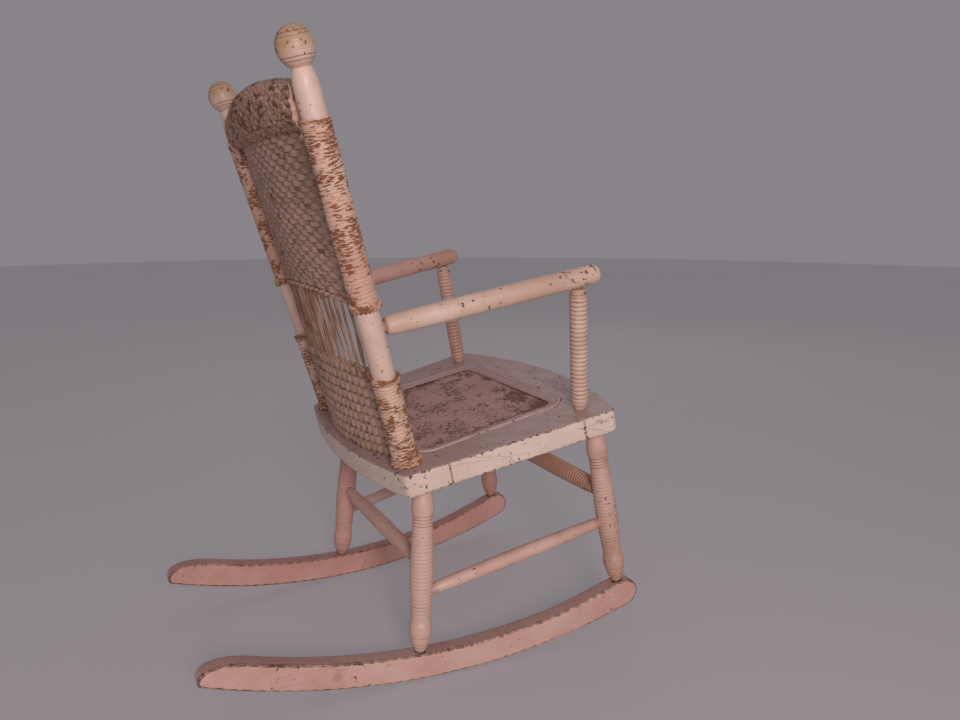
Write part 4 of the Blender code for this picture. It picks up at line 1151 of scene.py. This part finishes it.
def make_sheet():
    x, y = np.meshgrid(np.linspace(-SHEET_X, SHEET_X, SHEET_COLUMNS),
                       np.linspace(SHEET_FRONT, SHEET_REAR, SHEET_ROWS), indexing="ij")
    wave_x, wave_y = np.abs(np.sin(np.pi * x / WEAVE_X)), np.abs(np.sin(np.pi * y / WEAVE_Y))
    parity = (np.floor(x / WEAVE_X) + np.floor(y / WEAVE_Y)) % 2
    strand = np.where(parity == 0, wave_x ** 0.5 * (0.55 + 0.45 * wave_y),
                      wave_y ** 0.5 * (0.35 + 0.35 * wave_x))
    sag = -0.5 * np.cos(np.pi * x / 260) * np.cos(np.pi * (y + 7) / 210)
    top = -3.05 + (0.9 * strand + 0.12 * noise(x / 9, y / 9, 0, 71)) + sag
    round_x, round_y = round_corners(x, y)
    points = np.concatenate([np.stack([round_x, round_y, z], -1).reshape(-1, 3)
                             for z in (top, np.full_like(x, -4.6))])
    count = x.size                          # the underside's points follow the top's
    index = np.arange(count).reshape(x.shape)
    quads = np.stack([index[:-1, :-1], index[1:, :-1], index[1:, 1:], index[:-1, 1:]], -1)
    quads = quads.reshape(-1, 4)
    rim = np.r_[index[:, 0], index[-1, 1:], index[-2::-1, -1], index[0, -2:0:-1]]
    after = np.roll(rim, -1)
    wall = np.stack([rim, rim + count, after + count, after], -1)
    faces = np.vstack([quads, quads[:, ::-1] + count, wall])
    shape = Shape()
    # crevice: painted shade in the low places of the weave; the underside is all in shade
    shape.add(points, faces.tolist(), points[faces.ravel(), :2],
              crevice=np.r_[np.clip(1.1 - strand * 1.25, 0, 1).ravel(), np.ones(count)],
              wear=np.r_[sheet_wear(x, y).ravel(), np.zeros(count)])
    shape.make("seat_sheet", MATERIALS["panel"], "fibre_seat", "seat_panel")


make_sheet()

# ------------------------------------------------------------------ woven back
# Places on the back are u, -1..1 from the right post to the left, and height z.


def back_point(u, z):
    u = np.asarray(u, float)
    t = np.asarray(z, float) / BACK_HEIGHT
    bow = 1 - u * u
    foot_x, foot_y = 112.0 * u, POST_FOOT[1] + 22.0 * bow
    head_x, head_y = 145.6 * u, 128.0 + 14.0 * bow
    x, y = foot_x + (head_x - foot_x) * t, foot_y + (head_y - foot_y) * t
    return np.stack(np.broadcast_arrays(x, y, z), -1)


def back_normal(u, z):
    """Level unit vector square to the back, pointing to the rear."""
    along = back_point(u + 0.01, z) - back_point(u - 0.01, z)
    return unit(np.stack([-along[..., 1], along[..., 0], 0 * along[..., 0]], -1))


def stake_u(i):
    return -0.94 + 1.88 * np.asarray(i, float) / (STAKES - 1)


STATIONS_PER_STAKE = 12


def weaver(shape, row, height, parity, seed, fat, phase=0.0, lift=0.0, amp=1.5, tick=0.9,
           rough=1.0, seam=0.6):
    """One cord across the back, over one stake and under the next.

    fat scales its width, amp is its swing through the back, lift its swing up and down,
    rough its unevenness; tick and seam set the painted shade at crossings and edges."""
    k = np.arange(-0.62, STAKES - 1 + 0.62 + 1e-6, 1.0 / STATIONS_PER_STAKE)   # in stakes
    u = np.clip(stake_u(k), -0.995, 0.995)
    z = height(u) + 0.30 * rough * noise(k / 2.3, row * 1.9, 0.0, seed)
    z = z + lift * np.cos(np.pi * k + phase)
    swing = signed_power(np.cos(np.pi * k + np.pi * parity + phase), 1.15)
    offset = amp * swing * (1 + 0.10 * rough * noise(k / 1.7, row * 2.3, 2.0, seed + 1))
    path = back_point(u, z) + back_normal(u, z) * offset[:, None]
    half = 3.02 * fat * (1 + 0.05 * rough * noise(k / 1.4, row * 1.1, 4.0, seed + 2))
    # ends tuck in towards the post
    station = np.arange(len(k))
    ends = np.minimum(smooth_step(0, 5, station), smooth_step(0, 5, station[::-1]))
    half = half * (0.35 + 0.65 * ends)
    forward = unit(np.gradient(path, axis=0))
    up = unit(np.array([0, 0, 1.0]) - forward * forward[:, 2:3])
    out = np.cross(forward, up)
    sides = 12
    angle = angles(sides, 0.5)
    cos, sin = signed_power(np.cos(angle), 0.56), signed_power(np.sin(angle), 0.56)
    flatten = (0.46 + 0.03 * np.abs(swing))[:, None, None]
    section = up[:, None] * sin[:, None] + out[:, None] * cos[:, None] * flatten
    shown = swing[:, None] * np.sign(cos)   # above 0 where this face is the one on top
    crossing = np.exp(-((shown + 0.42) / 0.13) ** 2)
    pair = np.floor((k + 0.5 + parity) / 2.0)
    wear = np.clip(0.30 * noise(k / 3.0, row * 0.7, 1.0, 90), 0, 1) * 0.5
    shape.skin(path[:, None] + half[:, None, None] * section, run_length(path)[:, None],
               np.arange(sides + 1) / sides * 0.98 + row * 3,
               crevice=np.clip(seam * (np.abs(sin) > 0.93) + tick * crossing, 0, 1),
               wear=wear[:, None], tone=(0.35 + 0.5 * cell_hash(pair, row, 0, 81))[:, None])


def band_rows(low, high, pitch):
    """Number and height function of each row; edges are (height at posts, middle rise)."""
    rows = round((high[0] - low[0]) / pitch)
    for row in range(rows):
        def height(u, t=(row + 0.5) / rows):
            bottom, top = (edge + rise * (1 - u * u) for edge, rise in (low, high))
            return bottom + (top - bottom) * t
        yield row, height


def twined_pair(shape, row, height, seed, lift, **settings):
    """Two cords twined round every stake."""
    for strand, rise in ((0, -lift), (1, lift)):
        weaver(shape, row + 40 * strand, height, strand, seed, lift=rise, **settings)


def make_lower_weave():
    shape = Shape()
    for row, height in band_rows(low=(2.6, 0.0), high=(99.0, 9.0), pitch=10.8):
        turn = 0.7 * float(noise(row * 1.3, 0.5, 0.0, 91))
        twined_pair(shape, row, height, 200 + row, lift=1.8, fat=1.42, phase=turn, amp=1.6,
                    tick=0.25, rough=2.6)
    shape.make("weave_lower", MATERIALS["weave"], "fibre_weave", "back_weave_lower")


def make_upper_weave():
    shape = Shape()
    for row, height in band_rows(low=(168.0, 14.0), high=(335.6, 0.0), pitch=5.75):
        if row == 0:
            twined_pair(shape, row, height, 300, lift=1.3, fat=0.60, amp=2.6)
        else:
            weaver(shape, row, height, row % 2, 300 + row, fat=1.10, amp=1.20, tick=1.0,
                   rough=1.5, seam=0.18)
    # a cord up each edge, darkened nearly all over with painted shade by its high crevice value
    for side in (-1, 1):
        z = np.arange(168.0, 334.0, 2.0)
        path = back_point(np.full_like(z, side * 0.995), z)
        path[:, 1] += 1.2 * np.sin(z / 4.2)
        tube(shape, path, 1.5, 8, crevice=0.9, wear=0.1)
    shape.make("weave_upper", MATERIALS["weave"], "fibre_weave", "back_weave_upper")


def stake_cord(shape, i, pair):
    """Cord of stake i: pair -1 and 1 run full height, 0 only between the bands."""
    z = np.arange(-9.0, 342.0, 3.0) if pair else np.arange(90.0, 189.0, 3.0)
    free = smooth_step(96, 112, z) * smooth_step(186, 168, z)     # 1 between the bands
    sway = noise(z / 34.0, i * 1.7 + pair * 0.4, 0.0, 400)
    drift = (2.8 if pair else 5.0) * sway * free + 1.4 * noise(i * 3.1, pair, 0.0, 402) * free
    path = back_point(np.full_like(z, stake_u(i)), z)
    path[:, 0] += pair * (1.0 + 0.55 * free) + drift
    path[:, 1] += 0.5 * pair * np.sin(z / 9.0 + i) * free
    radius = 0.55 + (0.72 if pair else 0.45) * free
    radius = radius * (1 + 0.08 * noise(z / 5.0, i * 2.0 + pair, 1.0, 401))
    # crevice: painted shade on the stakes where the bands cover them
    tube(shape, path, radius, 8, crevice=0.2 + 0.7 * (1 - free[:, None]), wear=0.0,
         tone=float(cell_hash(i, pair + 2, 0, 77)))


def make_stakes():
    shape = Shape()
    for i in range(STAKES):
        for pair in (-1, 1, 0):
            stake_cord(shape, i, pair)
    # three loose cords beside each post, between the bands
    for side in (-1, 1):
        for k in range(3):
            z = np.arange(92.0, 186.0, 3.0)
            path = back_point(np.full_like(z, side * 0.975), z)
            path[:, 0] += side * (1.2 - 2.6 * k) + 1.6 * noise(z / 30.0, k * 1.9, side, 410)
            path[:, 1] += 1.2 * noise(z / 26.0, k * 2.9, side, 411)
            tube(shape, path, 1.25, 8, crevice=0.2, wear=0.0, tone=0.3 + 0.25 * k)
    shape.make("stakes", MATERIALS["stake"], "fibre_weave",
               *["back_stake_%02d" % (i + 1) for i in range(STAKES)])


make_lower_weave()
make_upper_weave()
make_stakes()

# ------------------------------------------------------------------ head roll
ROLL_STATIONS, ROLL_SIDES = 460, 184
ROLL_GIRTH, KNOTS_AROUND, KNOT_LENGTH = 132.0, 30, 8.0


def roll_point(u):
    u = np.asarray(u, float)
    bow = 1 - u * u
    return np.stack([post_at(1, ROLL_Z)[0] * u, 126.5 + 11.0 * bow, ROLL_Z + 10.0 * bow], -1)


def knots(along, across, length, width, around, seed):
    """Knobbly cells on a sheet: height of the knot, gap between knots, tone per knot."""
    x, y = np.broadcast_arrays(along / length, across / width)
    column, row = np.floor(x).astype(np.int64), np.floor(y).astype(np.int64)
    nearest, second, tone = np.full(x.shape, 9.0), np.full(x.shape, 9.0), np.zeros(x.shape)
    for di in (-1, 0, 1):
        for dj in (-1, 0, 1):
            i, j = column + di, row + dj
            shift_x, shift_y, turn, cell_tone = (
                cell_hash(i, np.mod(j, around), k, seed) for k in range(4))
            turn = (turn - 0.5) * 1.3
            dx = x - (i + 0.5 + 0.75 * (shift_x - 0.5))
            dy = y - (j + 0.5 + 0.75 * (shift_y - 0.5))
            cos, sin = np.cos(turn), np.sin(turn)
            distance = np.hypot((dx * cos + dy * sin) / 1.15, (dy * cos - dx * sin) * 1.12)
            near = distance < nearest
            second = np.where(near, nearest, np.minimum(second, distance))
            tone = np.where(near, cell_tone, tone)
            nearest = np.where(near, distance, nearest)
    rise = np.sqrt(np.clip(1 - (nearest / 0.74) ** 2, 0, 1))
    return rise, smooth_step(0.20, 0.02, second - nearest), tone


def roll_body(shape):
    span = np.linspace(-1, 1, ROLL_STATIONS)
    path = roll_point(ROLL_END * span)
    forward = unit(np.gradient(path, axis=0))
    out = unit(np.stack([-forward[:, 1], forward[:, 0], 0 * forward[:, 0]], -1))
    up = np.cross(forward, out)
    run = run_length(path)
    angle = angles(ROLL_SIDES)
    cos, sin = np.cos(angle), np.sin(angle)
    taper = from_table(np.abs(span), [(0, 1), (0.95, 0.98), (0.985, 0.91), (1.0, 0.78)])
    half_height = 19.5 + 7.5 * (1 - span ** 2)
    depth = 15.2 * signed_power(cos, 0.85) * taper[:, None]
    height = signed_power(sin, 0.85) * (half_height * taper)[:, None]
    rise, gap, tone = knots(run[:, None] + 3.5 * angle, angle / (2 * np.pi) * ROLL_GIRTH,
                            KNOT_LENGTH, ROLL_GIRTH / KNOTS_AROUND, KNOTS_AROUND, 505)
    relief = 2.7 * rise - 1.8 + 0.7 * noise_round(run, angle, 12.0, 2, 502)
    points = path[:, None] + out[:, None] * (depth + relief * cos)[..., None] \
        + up[:, None] * (height + relief * sin)[..., None]
    # crevice: painted shade in the gaps between knots and on their low sides
    crevice = np.clip(gap * 0.9 + 0.5 * smooth_step(0.35, 0.0, rise), 0, 1)
    shape.skin(points, run[:, None], np.arange(ROLL_SIDES + 1) / ROLL_SIDES * KNOTS_AROUND,
               crevice=crevice, wear=0.0, tone=tone)


def roll_closing_cords(shape):
    """Cords that close each end of the roll against the post."""
    t = np.linspace(-1, 1, 30)
    for side in (-1, 1):
        end = roll_point(ROLL_END * side)
        for k in range(6):
            x = end[0] + side * (0.2 + 1.8 * np.cos(t * 1.4)) + 1.0 * noise(t * 3, k * 1.7, 0, 507)
            y = end[1] + 13.0 - k * 3.6 + 1.8 * noise(t * 2.4, k * 2.3, 1.0, 508)
            z = end[2] + 20.0 * t - 1.0
            radius = 2.3 * np.sqrt(np.clip(1.05 - t ** 2, 0.06, 1))
            tube(shape, np.stack([x, y, z], -1), radius, 10, crevice=0.1, wear=0.0, tone=0.2)


def make_end_cords():
    """Four knotted cords hanging beside each post from the roll."""
    shape = Shape()
    t = np.linspace(0, 1, 34)
    for side in (-1, 1):
        for k in range(4):
            z = 360.0 - k * 2.0 - (25.0 + 3.0 * k) * t
            post = post_at(side, z)
            x = post[:, 0] - side * (12.4 + 1.1 * k + 0.7 * noise(t * 3, k * 1.9, 0, 601))
            y = post[:, 1] + 12.0 - 1.2 * k + 1.6 * noise(t * 3, k * 2.9, 1, 602)
            knot = 1 + 0.30 * np.sin(t * (21 + 2 * k) + k * 1.7)
            radius = 2.3 * knot * np.sqrt(np.clip(1.02 - (2 * t - 1) ** 4, 0.08, 1))
            tube(shape, np.stack([x, y, z], -1), radius, 10, crevice=0.0, wear=0.25)
    shape.make("head_roll_end_cords", MATERIALS["plain"], "fibre_weave")


def make_head_roll():
    shape = Shape()
    roll_body(shape)
    roll_closing_cords(shape)
    shape.make("head_roll", MATERIALS["roll"], "fibre_weave", "back_head_roll")


make_end_cords()
make_head_roll()

# CAD pieces that still show are bare wood
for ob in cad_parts.values():
    if not ob.hide_render:
        if not ob.material_slots:
            ob.data.materials.append(MATERIALS["bare"])
        for material_slot in ob.material_slots:
            material_slot.material = MATERIALS["bare"]

# ------------------------------------------------------------------ the studio, metres
scene = bpy.context.scene
FLOOR_RADIUS, FLOOR_Z, FLOOR_SIDES = 7, -0.0006, 96


def make_floor():
    mesh = bpy.data.meshes.new("studio_floor")
    ring = [(FLOOR_RADIUS * math.cos(t), FLOOR_RADIUS * math.sin(t), FLOOR_Z)
            for t in np.linspace(0, 2 * math.pi, FLOOR_SIDES + 1)[:-1]]
    mesh.from_pydata(ring, [], [list(range(FLOOR_SIDES))])
    g = Graph("studio_floor")
    colour = g.mix(g.noise(g.object, scale=1.2, detail=2.0), srgb(139, 128, 129),
                   srgb(147, 136, 137))
    mesh.materials.append(g.finish(colour, rough=0.95, specular=0.0))
    g.bsdf.inputs["Emission Color"].default_value = srgb(200, 196, 202)
    g.bsdf.inputs["Emission Strength"].default_value = 0.26
    floor = bpy.data.objects.new("studio_floor", mesh)
    scene.collection.objects.link(floor)


def make_world():
    world = bpy.data.worlds.new("studio")
    scene.world = world
    world.use_nodes = True
    nodes, links = world.node_tree.nodes, world.node_tree.links
    light = nodes["Background"]
    light.inputs["Color"].default_value = srgb(200, 196, 206)
    light.inputs["Strength"].default_value = 0.36
    # the camera sees the floor's own far shade, so the horizon stays quiet
    seen = nodes.new("ShaderNodeBackground")
    seen.inputs["Color"].default_value = srgb(137, 132, 137)
    light_path = nodes.new("ShaderNodeLightPath")
    mix = nodes.new("ShaderNodeMixShader")
    links.new(light_path.outputs["Is Camera Ray"], mix.inputs[0])
    links.new(light.outputs[0], mix.inputs[1])
    links.new(seen.outputs[0], mix.inputs[2])
    links.new(mix.outputs[0], nodes["World Output"].inputs[0])


EYE = Vector((-0.8309, 0.3138, 0.4933))
VIEW_RIGHT = Vector((-0.4642, -0.8858, 0.0002))
VIEW_UP = Vector((0.1709, -0.0894, 0.9813))
VIEW_FORWARD = Vector((0.8691, -0.4555, -0.1929))


def area_light(name, at, target, size, power, colour):
    """Round area light aimed at a target."""
    light = bpy.data.lights.new(name, "AREA")
    light.shape = "DISK"
    light.size = size
    light.energy = power
    light.color = colour
    ob = bpy.data.objects.new(name, light)
    scene.collection.objects.link(ob)
    ob.location = at
    ob.rotation_mode = "QUATERNION"
    ob.rotation_quaternion = (Vector(target) - Vector(at)).to_track_quat("-Z", "Y")


def make_camera():
    camera = bpy.data.cameras.new("camera")
    camera.sensor_width = 36.0
    camera.lens = 29.1
    camera.clip_start = 0.01
    ob = bpy.data.objects.new("camera", camera)
    scene.collection.objects.link(ob)
    axes = (VIEW_RIGHT.normalized(), VIEW_UP.normalized(), (-VIEW_FORWARD).normalized())
    ob.rotation_mode = "QUATERNION"
    ob.rotation_quaternion = Matrix(axes).transposed().to_quaternion()
    ob.location = EYE
    scene.camera = ob


make_floor()
make_world()
area_light("key", at=EYE - VIEW_FORWARD * 0.66 + VIEW_RIGHT * 0.26 + VIEW_UP * 0.12,
           target=(0, 0, 0.23), size=0.42, power=13.0, colour=(1.0, 0.965, 0.935))
area_light("top", at=(0.3, 0.2, 2.4), target=(0, 0, 0.2), size=1.8, power=3.0,
           colour=(0.96, 0.97, 1.0))
area_light("fill", at=(1.5, -1.4, 1.5), target=(0, 0, 0.3), size=1.6, power=4.2,
           colour=(0.97, 0.97, 1.0))
make_camera()
scene.view_settings.view_transform = "Standard"
